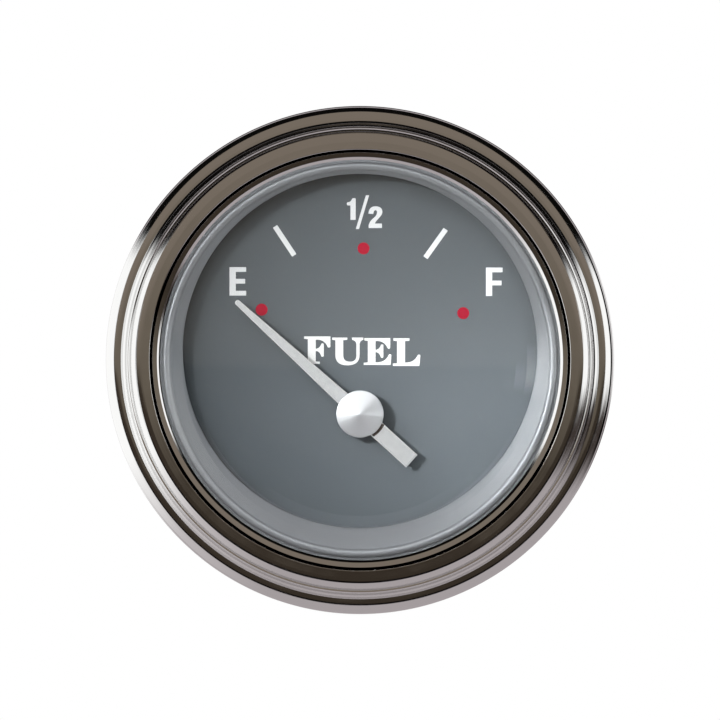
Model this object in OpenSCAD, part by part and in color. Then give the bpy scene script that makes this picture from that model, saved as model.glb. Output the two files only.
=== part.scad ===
// Round panel fuel gauge, 54 mm hole size, with its air-core movement and U bracket.
// Built in a dial frame: x to the viewer's right, y up the dial, z towards the viewer,
// with z = 0 on the bezel's rear face where the panel lies. It is then stood up so
// that the dial faces -Y and 12 o'clock is +Z.

/* [Bezel] */
// Outer diameter of the bezel
bezel_d = 60.3; // [60:0.1:64]
// Wall of the spun bezel
bezel_t = 0.7; // [0.5:0.05:0.8]
// Radius of the rounded outer shoulder
shoulder_r = 0.85; // [0.4:0.05:1.2]
// Width of the outer land
land_w = 0.9; // [0.6:0.05:1.2]
// Radial width of the double riser
riser_w = 1.8; // [1.5:0.05:2.4]
// Width of the front land
front_w = 1.7; // [1.3:0.05:2.2]
// Width of the groove beside the lip
groove_w = 0.35; // [0.2:0.05:0.5]
// Depth of the groove beside the lip
groove_h = 0.25; // [0.1:0.05:0.35]
// Radial width of the rolled lip
lip_w = 0.85; // [0.75:0.05:1.2]
// Height of the front land over the lens rim
lip_h = 1.2; // [1.1:0.05:2]
// Gap between the rolled rim and the case wall
rim_gap = 1.0; // [0.95:0.05:1.2]
// Corner radius at the back of the bezel
rim_r = 0.5; // [0.2:0.05:0.6]
// Air between the case flange and the bezel wall
flange_air = 0.25; // [0.1:0.05:0.4]
// Sweep of the fillet at the foot of the outer slope
outer_foot_a = 55; // [45:1:60]
// Sweep of the round at the head of the outer slope
outer_head_a = 60; // [45:1:65]
// Sweep of the fillet at the foot of the inner slope
inner_foot_a = 60; // [45:1:65]
// Sweep of the round at the head of the inner slope
inner_head_a = 65; // [50:1:75]
// Drop of the bead below the middle of the riser
bead_drop = 0.084; // [0:0.01:0.2]
// Distance of the bead inside the middle of the riser
bead_in = 0.1; // [0:0.05:0.2]
// Tilt of the bead's inner flank
bead_flank_a = 25; // [0:5:35]
// Radius of the fillets in the riser
riser_fillet = 0.25; // [0.1:0.05:0.3]
// Radius of the bead and of the riser's front edge
bead_w = 0.3; // [0.2:0.05:0.35]

/* [Lens and gasket] */
// Thickness of the lens
lens_t = 2.0; // [1.5:0.1:3]
// Rise of the lens dome
lens_crown = 1.3; // [0.8:0.1:2]
// Width of the lens rim under the lip
lens_seat_w = 2.0; // [1.6:0.1:2.1]
// Thickness of the gasket under the lens
gasket_t = 0.7; // [0.4:0.05:1]
// Wall of the gasket round the lens
gasket_w = 0.5; // [0.3:0.05:0.55]

/* [Trim ring] */
// Diameter of the ring's opening
ring_opening_d = 41.96; // [40:0.02:43]
// Height of the opening's centre above the case axis
ring_rise = 1.05; // [0:0.05:1.2]
// Sheet thickness of the ring
ring_t = 0.6; // [0.4:0.05:0.8]
// Distance from the lip to the middle of the ridge
ridge_in = 0.8; // [0.7:0.05:1]
// Radius of the ridge's bead
ridge_r = 0.5; // [0.3:0.05:0.6]
// Width of the ring's underside past the slope
ring_heel = 0.2; // [0.1:0.05:0.4]
// Depth of the sloped face
slope_h = 2.4; // [1.5:0.1:3]

/* [Dial] */
// Thickness of the dial
dial_t = 0.6; // [0.4:0.05:1]
// Air between the dial's edge and the case wall
dial_air = 0.5; // [0.3:0.05:0.8]
// Air between the slope's inner edge and the dial
dial_gap = 0.9; // [0.4:0.1:2]
// Radius of the two feet on the dial's back
foot_r = 1.5; // [1.2:0.1:2]
// Distance of the feet from the spindle
foot_x = 12.9; // [12.5:0.1:14]

/* [Pointer] */
// Height of the spindle below the case axis
pivot_drop = 6.4; // [5.5:0.1:6.8]
// Length from the spindle to the tip
pointer_l = 19.9; // [15:0.1:20.2]
// Length from the spindle to the tail's end
tail_l = 8.3; // [5:0.1:10]
// Width of the blade at the hub
blade_w = 1.65; // [1.2:0.05:2]
// Width of the blade at the tip
tip_w = 0.65; // [0.4:0.05:1]
// Width of the tail
tail_w = 2.0; // [1.5:0.05:2.4]
// Sheet thickness of the blade
blade_t = 0.4; // [0.3:0.05:0.6]
// Height of the blade above the dial
blade_gap = 1.4; // [0.8:0.1:1.6]
// Diameter of the hub cap
hub_d = 5.6; // [5:0.1:7]
// Height of the hub cap's straight edge
hub_edge_h = 0.45; // [0.3:0.05:0.6]
// Height of the hub cap's cone
hub_cone_h = 0.75; // [0.4:0.05:1]
// Step from the hub cap in to the disc under it
disc_in = 0.3; // [0.2:0.05:0.5]
// Flat at the point of the hub cap's cone
hub_point_r = 0.15; // [0.1:0.05:0.3]
// Radius of the bush under the blade
bush_r = 1.2; // [1:0.05:1.4]
// Running air between the bush and the dial's hole
bush_air = 0.4; // [0.3:0.05:0.6]
// Reach of the bush past the dial's back
bush_past = 0.3; // [0.1:0.05:0.5]
// Angle of the empty and full marks from 12 o'clock
scale_angle = 44.3; // [42:0.1:46]
// Angle that the pointer rests past the empty mark
rest_past = 3.4; // [1:0.1:5]

/* [Movement] */
// Radius of the spindle
spindle_r = 0.5; // [0.4:0.05:0.6]
// Radial clearance of the spindle in its bearings
bearing_clear = 0.03; // [0.02:0.01:0.06]
// Radial clearance of pieces pressed together
seat_clear = 0.02; // [0.01:0.005:0.03]
// Height of the space for the hairspring
spring_space = 2.8; // [2.6:0.1:4]
// Turns of the hairspring
spring_turns = 4.25; // [2.25:1:5.25]
// Width of the hairspring's strip
spring_h = 0.5; // [0.3:0.05:0.6]
// Thickness of the hairspring's strip
spring_t = 0.14; // [0.1:0.01:0.2]
// Outer radius of the collet
collet_r = 1.4; // [1.2:0.05:1.6]
// Height of the collet
collet_h = 0.8; // [0.6:0.05:1]
// Air between the dial and the collet
collet_below = 1.0; // [0.6:0.1:1.2]
// Air between the hairspring and its collet and post
spring_air = 0.1; // [0.05:0.01:0.2]
// Radius of the hairspring's post
post_r = 0.5; // [0.4:0.05:0.7]
// Radius where the hairspring ends
spring_end_r = 4.9; // [4:0.1:5.2]
// Radius of the stop pins' circle
stop_circle_r = 7.2; // [6.8:0.1:7.4]
// Radius of a stop pin
stop_pin_r = 0.45; // [0.3:0.05:0.6]
// Thickness of the stop arm
stop_arm_h = 0.6; // [0.4:0.05:0.8]
// Air under the stop arm
stop_arm_air = 0.25; // [0.15:0.05:0.4]
// Reach of the stop arm past the pins' circle
stop_arm_past = 0.8; // [0.6:0.1:1.2]
// Height of the stop pins over the arm
stop_pin_past = 0.2; // [0:0.05:0.4]
// Width of the stop arm
stop_arm_w = 1.0; // [0.8:0.05:1.4]
// Thickness of the movement's front plate
plate_t = 0.8; // [0.6:0.05:1.2]
// Half the bobbin's side
bobbin_s = 6.5; // [6.3:0.1:6.8]
// Depth of the bobbin along the spindle
bobbin_h = 9.0; // [8:0.1:12]
// Radius of the rotor magnet
rotor_r = 4.9; // [4:0.1:5]
// Thickness of the rotor magnet
rotor_h = 3.6; // [2.5:0.1:4.5]
// Air round the spindle in the front plate
hole_air = 1.1; // [0.6:0.1:1.2]
// Floor of the rear bearing under the spindle
bearing_floor = 0.2; // [0.1:0.05:0.3]
// Air round the rotor magnet
rotor_air = 0.5; // [0.3:0.05:0.8]
// Thickness of each winding
coil_t = 1.6; // [1.2:0.1:1.8]
// Width of each winding bundle
coil_w = 2.6; // [2:0.1:2.8]
// Half the gap between a winding's two bundles
coil_gap = 2.0; // [2:0.05:2.2]
// Radius of the bobbin's bearing tubes
tube_r = 1.8; // [1.6:0.05:1.9]
// Radius of the bearings
bearing_r = 1.1; // [0.9:0.05:1.2]
// Length of the bearings
bearing_t = 1.4; // [1:0.1:1.5]
// Radius of the posts that carry the front plate
spacer_r = 2.0; // [1.6:0.1:2.4]
// Metal of the front plate round each post
ear_w = 0.4; // [0.2:0.1:0.6]
// Radius of the tips and screws in the posts
foot_tip_r = 0.9; // [0.7:0.05:1]
// Thread length of the screws in the posts
screw_l = 3.5; // [2:0.1:5]
// Depth of the posts' threads past the screws
screw_spare = 0.5; // [0.2:0.1:1]
// Radius of the screws' heads
screw_head_r = 1.8; // [1.5:0.1:2]
// Height of the screws' heads
screw_head_h = 1.0; // [0.6:0.1:1.2]
// Air between the front plate and the windings
coil_air = 0.2; // [0.1:0.05:0.4]
// Wall of the steel shield
shield_t = 0.5; // [0.3:0.05:0.6]
// Air between the windings and the shield
shield_air = 0.2; // [0.1:0.05:0.3]

/* [Board and lamp] */
// Thickness of the circuit board
board_t = 1.6; // [1:0.1:2]
// Air between the board's edge and the case wall
board_air = 0.8; // [0.5:0.1:1.2]
// Height of the lamp above the case axis
lamp_up = 15.0; // [14.5:0.1:15.5]
// Air round the lamp holder in the board
lamp_board_air = 0.8; // [0.4:0.1:1.2]
// Radius of the lamp holder's snout
snout_r = 5.4; // [5.3:0.05:5.6]
// Wall of the lamp holder's snout
snout_t = 0.6; // [0.5:0.05:0.7]
// Length of the snout inside the case
snout_l = 7.0; // [5:0.1:9]
// Radius of the lamp holder's flange
lamp_flange_r = 6.6; // [6.2:0.05:7]
// Thickness of the lamp holder's flange
lamp_flange_t = 1.6; // [1:0.1:2.5]
// Length of the lamp holder's body behind its flange
lamp_body_l = 5.0; // [3:0.1:8]
// Gap between the lamp holder's flange and the case
lamp_gap = 0.1; // [0.05:0.05:0.3]
// Sliding clearance of the lamp holder
lamp_clear = 0.08; // [0.04:0.01:0.1]
// Length of the lamp's contact tab
tab_l = 7.0; // [5:0.1:9]
// Width of the lamp's contact tab
tab_w = 6.3; // [4.8:0.1:6.4]
// Thickness of the lamp's contact tab
tab_t = 0.8; // [0.5:0.1:1]
// Radius of the bulb's globe
globe_r = 5.0; // [4.6:0.05:5.2]
// Wall of the bulb's globe
globe_t = 0.5; // [0.3:0.05:0.7]
// Length of the bulb's metal cap past the snout
cap_out = 2.0; // [1:0.1:4]
// Depth of the holder's floor under the bulb's cap
cap_floor = 0.8; // [0.5:0.1:1.2]
// Floor of the bulb's metal cap
cap_base = 1.0; // [0.6:0.1:1.4]
// Wall of the bulb's metal cap
cap_wall = 0.6; // [0.4:0.05:0.8]
// Radius of a resistor's body
resistor_r = 1.1; // [0.8:0.05:1.3]
// Length of a resistor's body
resistor_l = 5.6; // [4:0.1:6.5]
// Radius of a resistor's wire
wire_r = 0.3; // [0.2:0.05:0.4]
// Length of a resistor's wire before its bend
wire_out = 1.2; // [0.8:0.1:1.6]
// Air under a resistor's body
resistor_lift = 0.2; // [0.1:0.05:0.5]
// Distance from the board's edge in to the resistors
resistor_in = 10.0; // [9:0.1:11]
// Height of the lowest resistor above the case axis
resistor_up = 3.0; // [2:0.1:4]
// Spacing of the resistors
resistor_step = 4.0; // [3:0.1:4.2]

/* [Case] */
// Outer diameter of the case
case_d = 53.2; // [52:0.1:53.4]
// Wall of the drawn case
case_t = 0.8; // [0.6:0.05:0.9]
// Corner radius at the back of the case
case_corner_r = 2.0; // [1.2:0.1:3]
// Radius under the case's flange
flange_fillet = 0.4; // [0.2:0.05:0.6]
// Space between the board and the case's floor
floor_space = 1.6; // [1.3:0.1:2.5]

/* [Terminals] */
// Radius of a terminal stud
stud_r = 2.08; // [1.9:0.01:2.4]
// Radius of the circle of the three terminals
terminal_circle_r = 20.8; // [20.7:0.05:21]
// Angle between neighbouring terminals
terminal_step = 45; // [42:1:55]
// Lap of an inner insulator on the case floor
insulator_lap = 0.7; // [0.4:0.05:0.8]
// Thread of a terminal stud past its inner nut
stud_past = 0.8; // [0.4:0.1:1.5]
// Chamfer at the end of each stud
stud_chamfer = 0.4; // [0.2:0.05:0.6]
// Free length of a terminal stud
stud_free_l = 10.0; // [6:0.1:16]
// Thickness of a terminal's hexagon collar
collar_t = 3.0; // [2:0.1:4]
// Width across the flats of a terminal's collar
collar_af = 8.0; // [7:0.1:8.8]
// Width across the flats of an inner nut
nut_af = 6.35; // [6:0.05:6.5]
// Thickness of an inner nut
nut_t = 2.4; // [1.5:0.1:3]
// Radial clearance of a stud in its hole
stud_clear = 0.05; // [0.03:0.01:0.1]
// Radius of an outer insulator
insulator_r = 5.0; // [4.8:0.1:5.2]
// Thickness of an outer insulator
insulator_t = 1.0; // [0.6:0.1:1.5]
// Wall of an insulator's sleeve in the case
sleeve_t = 0.9; // [0.6:0.05:1.2]

/* [Bracket] */
// Distance of each bracket stud from the case axis
bracket_stud_x = 18.5; // [18:0.1:19]
// Radius of a bracket stud's head inside the case
clinch_r = 3.4; // [2.8:0.1:4]
// Thickness of a bracket stud's head
clinch_t = 1.0; // [0.6:0.1:1.2]
// Thread left past a thumb nut when it is backed off
stud_spare = 1.5; // [0.5:0.1:4]
// Width of the bracket's strip
strip_w = 12.7; // [10:0.1:14]
// Thickness of the bracket's strip
strip_t = 1.6; // [1.2:0.1:1.8]
// Air between the case and the bracket's legs
leg_gap = 1.1; // [1.05:0.05:1.3]
// Inner bend radius of the bracket
bend_r = 2.0; // [1:0.1:3]
// Gap left for the panel at rest
panel_gap = 5.0; // [4.6:0.1:6]
// Thread pitch of the bracket studs
pitch = 0.79375; // [0.7:0.01:0.8]
// Turns of the thumb nuts each way
nut_turns = 5; // [3:1:5]
// Air left behind the case with the bracket tight
bridge_air = 0.75; // [0.4:0.05:2]
// Radial clearance of a bracket stud in the bridge
bridge_clear = 0.35; // [0.3:0.05:0.6]
// Thickness of a lock washer
washer_t = 0.8; // [0.6:0.1:1.2]
// Radius of a lock washer
washer_r = 3.9; // [3.4:0.1:4.4]
// Running gap under a thumb nut
nut_gap = 0.1; // [0.05:0.05:0.3]
// Diameter of a thumb nut's knurled head
thumb_d = 9.5; // [8:0.1:11]
// Thickness of a thumb nut's knurled head
thumb_t = 4.5; // [3:0.1:6]
// Height of a thumb nut's collar
thumb_collar_h = 1.5; // [1:0.1:2]
// Radius of a thumb nut's collar
thumb_collar_r = 3.4; // [3.2:0.1:3.8]
// Flutes round a thumb nut
thumb_flutes = 20; // [12:1:24]
// Radius of a flute's cutter
flute_r = 0.45; // [0.3:0.05:0.5]
// Gap in a split lock washer
split_w = 0.6; // [0.3:0.05:1]

/* [Hidden] */

// Fineness of the round forms
$fn = 96;
// Steps in a small rounded corner of a section
corner_steps = 6;
// Overshoot of a cut past the surface it opens
cut = 1;
chrome = [0.72, 0.70, 0.68];
steel = [0.62, 0.63, 0.64];
brass = [0.78, 0.64, 0.34];
grey_paint = [0.42, 0.45, 0.47];
ring_grey = [0.60, 0.61, 0.63];

// Stack of the front, from the panel's face towards the viewer
flange_z = bezel_t;
ring_seat_z = flange_z + case_t;
gasket_z = ring_seat_z + ring_t;
lens_z = gasket_z + gasket_t;
lens_front_z = lens_z + lens_t;
front_z = lens_front_z + lip_h;
// Air between the trim ring's flange and the land above it
land_air = 0.4;
land_z = gasket_z + land_air + bezel_t;

// Radii of the bezel's section, from the outside
bezel_r = bezel_d / 2;
land_r = bezel_r - shoulder_r;
riser_r = land_r - land_w;
front_r = riser_r - riser_w;
groove_r = front_r - front_w;
ledge_r = groove_r - groove_w;
lip_r = ledge_r - lip_w;
case_r = case_d / 2;
case_ir = case_r - case_t;
rim_ir = case_r + rim_gap;
flange_r = bezel_r - bezel_t - flange_air;

// Lens
lens_r = lip_r + lens_seat_w;
dome_r = lip_r;
dome_ball_r = (dome_r * dome_r + lens_crown * lens_crown) / (2 * lens_crown);
// Inward reach of the gasket under the lens
gasket_in = 1.3;
gasket_ir = lens_r - gasket_in;
gasket_or = lens_r + gasket_w;
// Part of the lens edge left bare above the gasket's wall
gasket_short = 0.5;

// Trim ring
ridge_c = lip_r - ridge_in;
slope_r = ridge_c - ridge_r;
opening_r = ring_opening_d / 2;
// Sheet left inside the opening before it is cut
opening_spare = 0.3;
slope_ir = opening_r - ring_rise - opening_spare;
slope_a = atan(slope_h / (slope_r - slope_ir));
ring_edge_z = gasket_z - slope_h;

// Dial and pointer
dial_z = ring_edge_z - dial_gap;
dial_back_z = dial_z - dial_t;
dial_r = case_ir - dial_air;
blade_z = dial_z + blade_gap;
blade_top_z = blade_z + blade_t;
// Radius of the blade's disc under the hub cap
disc_r = hub_d / 2 - disc_in;
dial_hole_r = bush_r + bush_air;
bush_low_z = dial_back_z - bush_past;

// Movement, from the front plate backwards
plate_z = dial_back_z - spring_space;
plate_back_z = plate_z - plate_t;
outer_front_z = plate_back_z - coil_air;
inner_front_z = outer_front_z - coil_t;
bobbin_front_z = inner_front_z - coil_t;
bobbin_mid_z = bobbin_front_z - bobbin_h / 2;
bobbin_back_z = bobbin_front_z - bobbin_h;
inner_back_z = bobbin_back_z - coil_t;
outer_back_z = inner_back_z - coil_t;
shield_back_z = outer_back_z - shield_t;
front_bearing_z = outer_front_z - bearing_t;
rear_bearing_z = bobbin_back_z - bearing_t;
coil_corner_r = norm([bobbin_s + coil_t, coil_gap + coil_w]);
shield_ir = coil_corner_r + shield_air;
shield_r = shield_ir + shield_t;
board_z = shield_back_z;
board_back_z = board_z - board_t;
floor_z = board_back_z - floor_space;
back_z = floor_z - case_t;
board_r = case_ir - board_air;
cavity_r = rotor_r + rotor_air;
// Height of the spindle's tip inside the hub cap
spindle_top_z = blade_top_z + hub_edge_h;
spindle_low_z = rear_bearing_z + bearing_floor;
collet_z = dial_back_z - collet_below - collet_h;
stop_arm_z = plate_z + stop_arm_air;
// The arm lies half way between the two pins at mid scale
stop_touch = asin((stop_pin_r + stop_arm_w / 2) / stop_circle_r);
// Free angle left past the arm at each stop
stop_spare = 1.5;
rest_angle = scale_angle + rest_past;
frame_hole_r = spindle_r + hole_air;

// Terminals
terminal_angles = [-90 - terminal_step, -90, -90 + terminal_step];
shaft_hole_r = stud_r + stud_clear;
sleeve_r = shaft_hole_r + sleeve_t;
case_hole_r = sleeve_r + stud_clear;
hex_ratio = cos(30);
collar_z = back_z - insulator_t;
stud_free_z = collar_z - collar_t;
stud_end_z = stud_free_z - stud_free_l;
stud_top_z = board_z + nut_t + stud_past;

// Bracket
travel = nut_turns * pitch;
leg_x = case_r + leg_gap;
bridge_z = back_z - bridge_air - travel;
bridge_back_z = bridge_z - strip_t;
foot_z = -panel_gap;
washer_low_z = bridge_back_z - washer_t;
nut_top_z = washer_low_z - nut_gap;
nut_low_z = nut_top_z - thumb_t - thumb_collar_h;
bracket_stud_end_z = nut_low_z - travel - stud_spare;

// Lamp
lamp_hole_r = snout_r + lamp_clear;
lamp_flange_z = back_z - lamp_gap;
lamp_body_z = lamp_flange_z - lamp_flange_t;
lamp_end_z = lamp_body_z - lamp_body_l;
snout_top_z = lamp_flange_z + snout_l;
cap_r = snout_r - snout_t - seat_clear;
cap_top_z = snout_top_z + cap_out;
cap_low_z = lamp_flange_z + cap_floor;
neck_r = cap_r - cap_wall;
globe_c_z = cap_top_z + sqrt(globe_r * globe_r - neck_r * neck_r);

// A point on a circle, for the rounded corners of a section
function on_arc(c, r, a) = [c[0] + r * cos(a), c[1] + r * sin(a)];
// Points of an arc from angle a0 to a1
function arc(c, r, a0, a1, n = corner_steps) = [for (i = [0:n]) on_arc(c, r, a0 + (a1 - a0) * i / n)];

// Stands the dial frame up, so that the dial faces -Y
module stand() {
    rotate([90, 0, 0]) children();
}

// Moves to the spindle and to the pointer's rest angle
module at_pointer() {
    stand() translate([0, -pivot_drop, 0]) rotate([0, 0, rest_angle]) children();
}

module at_spindle() {
    stand() translate([0, -pivot_drop, 0]) children();
}

// A disc or tube between two heights
module tube(r, z0, z1, bore = 0) {
    translate([0, 0, z0]) difference() {
        cylinder(r = r, h = z1 - z0);
        if (bore > 0) translate([0, 0, -cut]) cylinder(r = bore, h = z1 - z0 + 2 * cut);
    }
}

// A hexagon between two heights, with an optional bore
module hexagon(across, z0, z1, bore = 0) {
    translate([0, 0, z0]) difference() {
        cylinder(r = across / 2 / hex_ratio, h = z1 - z0, $fn = 6);
        if (bore > 0) translate([0, 0, -cut]) cylinder(r = bore, h = z1 - z0 + 2 * cut);
    }
}

module at_terminal(i) {
    stand() rotate([0, 0, terminal_angles[i]]) translate([terminal_circle_r, 0, 0]) children();
}

module at_bracket_stud(side) {
    stand() translate([side * bracket_stud_x, 0, 0]) children();
}

// Outer face of the bezel's section, from the seat round to the lip
function bezel_face() = concat(
    [[rim_ir, 0]],
    arc([bezel_r - rim_r, rim_r], rim_r, -90, 0),
    arc([land_r, land_z - shoulder_r], shoulder_r, 0, 90),
    riser_face(),
    [[groove_r, front_z], [groove_r - groove_w / 2, front_z - groove_h], [ledge_r, front_z - groove_h / 2]],
    arc([lip_r + lip_w / 2, front_z - groove_h / 2 - lip_w / 2], lip_w / 2, 90, 180));

// The double riser: a fillet, a slope, a bead with a low inner flank, a second slope and a rounded edge
bead_r = riser_r - riser_w / 2 - bead_in;
bead_z = (land_z + front_z) / 2 - bead_drop;
bead_foot = [bead_r - (bead_w + riser_fillet) * sin(bead_flank_a),
             bead_z - bead_w + (bead_w + riser_fillet) * cos(bead_flank_a)];
function riser_face() = concat(
    arc([riser_r, land_z + riser_fillet], riser_fillet, 270, 270 - outer_foot_a),
    arc([bead_r, bead_z - bead_w], bead_w, 90 - outer_head_a, 90 + bead_flank_a),
    arc(bead_foot, riser_fillet, 270 + bead_flank_a, 270 - inner_foot_a),
    arc([front_r - bead_w, front_z - bead_w], bead_w, 90 - inner_head_a, 90));

// Inner face of the bezel's section, from the lip back to the seat
function bezel_inside() = [
    [lip_r, lens_front_z],
    [lip_r + bezel_t, lens_front_z],
    [lip_r + bezel_t, front_z - bezel_t - groove_h],
    [groove_r, front_z - bezel_t],
    [front_r - bezel_t, front_z - bezel_t],
    [riser_r - bezel_t, land_z - bezel_t],
    [bezel_r - bezel_t, land_z - bezel_t],
    [bezel_r - bezel_t, bezel_t],
    [rim_ir, bezel_t]];

// Chromed ring, spun over the case's flange
module bezel() {
    color(chrome) stand() rotate_extrude() polygon(concat(bezel_face(), bezel_inside()));
}

// A shallow cap of the dome's ball with its rim at z0
module dome_cap(z0) {
    intersection() {
        translate([0, 0, z0 + lens_crown - dome_ball_r]) sphere(r = dome_ball_r);
        translate([0, 0, z0]) cylinder(r = dome_r + cut, h = lens_crown + cut);
    }
}

// Domed glass with a flat rim under the lip
module lens_glass() {
    color([0.85, 0.9, 0.92, 0.35]) stand() difference() {
        union() {
            tube(lens_r, lens_z, lens_front_z);
            dome_cap(lens_front_z);
        }
        dome_cap(lens_z);
    }
}

// Rubber ring of L section, under the lens and round its edge
module lens_gasket() {
    color([0.08, 0.08, 0.08]) stand() rotate_extrude() polygon([
        [gasket_ir, gasket_z], [gasket_or, gasket_z], [gasket_or, lens_front_z - gasket_short],
        [lens_r, lens_front_z - gasket_short], [lens_r, lens_z], [gasket_ir, lens_z]]);
}

// Pressed ring with a ridge and a sloped face, clamped by its flange
module trim_ring() {
    fall = ring_t * cos(slope_a);
    run = ring_t * sin(slope_a);
    color(ring_grey) stand() difference() {
        rotate_extrude() polygon(concat(
            [[flange_r, ring_seat_z], [flange_r, gasket_z]],
            arc([ridge_c, gasket_z], ridge_r, 0, 180, 10),
            [[slope_ir, ring_edge_z], [slope_ir + run, ring_edge_z - fall],
                [slope_r + run + ring_heel, ring_seat_z]]));
        translate([0, ring_rise, ring_edge_z - cut]) cylinder(r = opening_r, h = slope_h + 2 * cut);
    }
}

// Aluminium dial with a hole for the pointer's bush
module dial_plate() {
    color(grey_paint) stand() difference() {
        tube(dial_r, dial_back_z, dial_z);
        translate([0, -pivot_drop, dial_back_z - cut]) cylinder(r = dial_hole_r, h = dial_t + 2 * cut);
    }
}

// Two posts that stand on the movement's plate, with tips that pass through it
module dial_feet() {
    color(brass) at_spindle() for (side = [-1, 1]) translate([side * foot_x, 0, 0]) {
        tube(foot_r, plate_z, dial_back_z);
        tube(foot_tip_r, plate_back_z, plate_z);
    }
}

// Drawn steel cup with an outward flange
module case_can() {
    inner_corner = case_corner_r - case_t;
    color(steel) stand() difference() {
        rotate_extrude() polygon(concat(
            [[0, back_z]],
            arc([case_r - case_corner_r, back_z + case_corner_r], case_corner_r, -90, 0),
            arc([case_r + flange_fillet, flange_z - flange_fillet], flange_fillet, 180, 90),
            [[flange_r, flange_z], [flange_r, ring_seat_z], [case_ir, ring_seat_z]],
            arc([case_ir - inner_corner, floor_z + inner_corner], inner_corner, 0, -90),
            [[0, floor_z]]));
        for (a = terminal_angles) rotate([0, 0, a]) translate([terminal_circle_r, 0, back_z - cut])
            cylinder(r = case_hole_r, h = case_t + 2 * cut);
        for (side = [-1, 1]) translate([side * bracket_stud_x, 0, back_z - cut])
            cylinder(r = shaft_hole_r, h = case_t + 2 * cut);
        translate([0, lamp_up, back_z - cut]) cylinder(r = lamp_hole_r, h = case_t + 2 * cut);
    }
}

// Flat aluminium pointer with a disc at the hub
module pointer_blade() {
    tip_r = tip_w / 2;
    color([0.86, 0.86, 0.87]) at_pointer() translate([0, 0, blade_z]) difference() {
        linear_extrude(blade_t) union() {
            circle(r = disc_r);
            polygon(concat([[-blade_w / 2, 0]], [[blade_w / 2, 0]],
                arc([0, pointer_l - tip_r], tip_r, 0, 180)));
            translate([-tail_w / 2, -tail_l]) square([tail_w, tail_l]);
        }
        translate([0, 0, -cut]) cylinder(r = spindle_r + seat_clear, h = blade_t + 2 * cut);
    }
}

// Spun cap with a shallow cone, over the blade's disc
module pointer_hub_cap() {
    color([0.8, 0.8, 0.82]) at_pointer() difference() {
        union() {
            tube(hub_d / 2, blade_top_z, blade_top_z + hub_edge_h);
            translate([0, 0, blade_top_z + hub_edge_h])
                cylinder(r1 = hub_d / 2, r2 = hub_point_r, h = hub_cone_h);
        }
        translate([0, 0, blade_top_z - cut])
            cylinder(r = spindle_r + seat_clear, h = hub_edge_h + cut);
    }
}

// Brass bush that carries the blade on the spindle
module pointer_bush() {
    color(brass) at_pointer() tube(bush_r, bush_low_z, blade_z, spindle_r + seat_clear);
}

// Steel spindle from the rear bearing to the hub cap
module spindle() {
    color(steel) at_pointer() tube(spindle_r, spindle_low_z, spindle_top_z - seat_clear);
}

// Disc magnet at the middle of the bobbin
module rotor_magnet() {
    color([0.25, 0.25, 0.27]) at_pointer()
        tube(rotor_r, bobbin_mid_z - rotor_h / 2, bobbin_mid_z + rotor_h / 2, spindle_r + seat_clear);
}

// Flat spiral from the collet to its stud, by an even gain in radius
module hairspring() {
    per_turn = 30;
    start_r = collet_r + spring_air + spring_t / 2;
    steps = round(spring_turns * per_turn);
    function spiral_r(i) = start_r + (spring_end_r - start_r) * i / steps;
    function turn(i) = i * 360 / per_turn;
    color([0.7, 0.55, 0.3]) at_spindle() translate([0, 0, collet_z + (collet_h - spring_h) / 2])
        linear_extrude(spring_h) polygon(concat(
            [for (i = [0:steps]) on_arc([0, 0], spiral_r(i) + spring_t / 2, turn(i))],
            [for (i = [steps:-1:0]) on_arc([0, 0], spiral_r(i) - spring_t / 2, turn(i))]));
}

// Brass ring that holds the hairspring's inner end
module hairspring_collet() {
    color(brass) at_pointer() tube(collet_r, collet_z, collet_z + collet_h, spindle_r + seat_clear);
}

// Post that holds the hairspring's outer end
module hairspring_stud() {
    end_a = spring_turns * 360;
    color(brass) at_spindle() rotate([0, 0, end_a])
        translate([spring_end_r + spring_t / 2 + post_r + spring_air, 0, 0])
        tube(post_r, plate_z, collet_z + collet_h);
}

// Arm on the spindle that meets the stop pins
module stop_arm() {
    color(brass) at_pointer() translate([0, 0, stop_arm_z]) difference() {
        union() {
            cylinder(r = collet_r, h = stop_arm_h);
            translate([-stop_arm_w / 2, -stop_circle_r - stop_arm_past, 0])
                cube([stop_arm_w, stop_circle_r + stop_arm_past, stop_arm_h]);
        }
        translate([0, 0, -cut]) cylinder(r = spindle_r + seat_clear, h = stop_arm_h + 2 * cut);
    }
}

// Two pins that end the pointer's swing just past each mark
module stop_pins() {
    stop_a = rest_angle + stop_touch + stop_spare;
    color(steel) at_spindle() for (side = [-1, 1]) rotate([0, 0, side * stop_a])
        translate([0, -stop_circle_r, 0]) tube(stop_pin_r, plate_z, stop_arm_z + stop_arm_h + stop_pin_past);
}

// One half of the bobbin, with its share of the rotor's cavity and a bearing tube
module bobbin_half(z0, z1, tube_z0, tube_z1, bearing_z) {
    difference() {
        union() {
            translate([-bobbin_s, -bobbin_s, z0]) cube([2 * bobbin_s, 2 * bobbin_s, z1 - z0]);
            tube(tube_r, tube_z0, tube_z1);
        }
        tube(cavity_r, bobbin_mid_z - rotor_h / 2 - rotor_air, bobbin_mid_z + rotor_h / 2 + rotor_air);
        tube(spindle_r + rotor_air, rear_bearing_z + bearing_t, outer_front_z + cut);
        tube(bearing_r + seat_clear, bearing_z, bearing_z + bearing_t);
    }
}

module bobbin_front() {
    color([0.9, 0.88, 0.8]) at_spindle() difference() {
        bobbin_half(bobbin_mid_z, bobbin_front_z, bobbin_front_z, outer_front_z, front_bearing_z);
        tube(bearing_r + seat_clear, front_bearing_z, outer_front_z + cut);
    }
}

module bobbin_back() {
    color([0.86, 0.84, 0.76]) at_spindle()
        bobbin_half(bobbin_back_z, bobbin_mid_z, outer_back_z, bobbin_back_z, rear_bearing_z);
}

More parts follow.
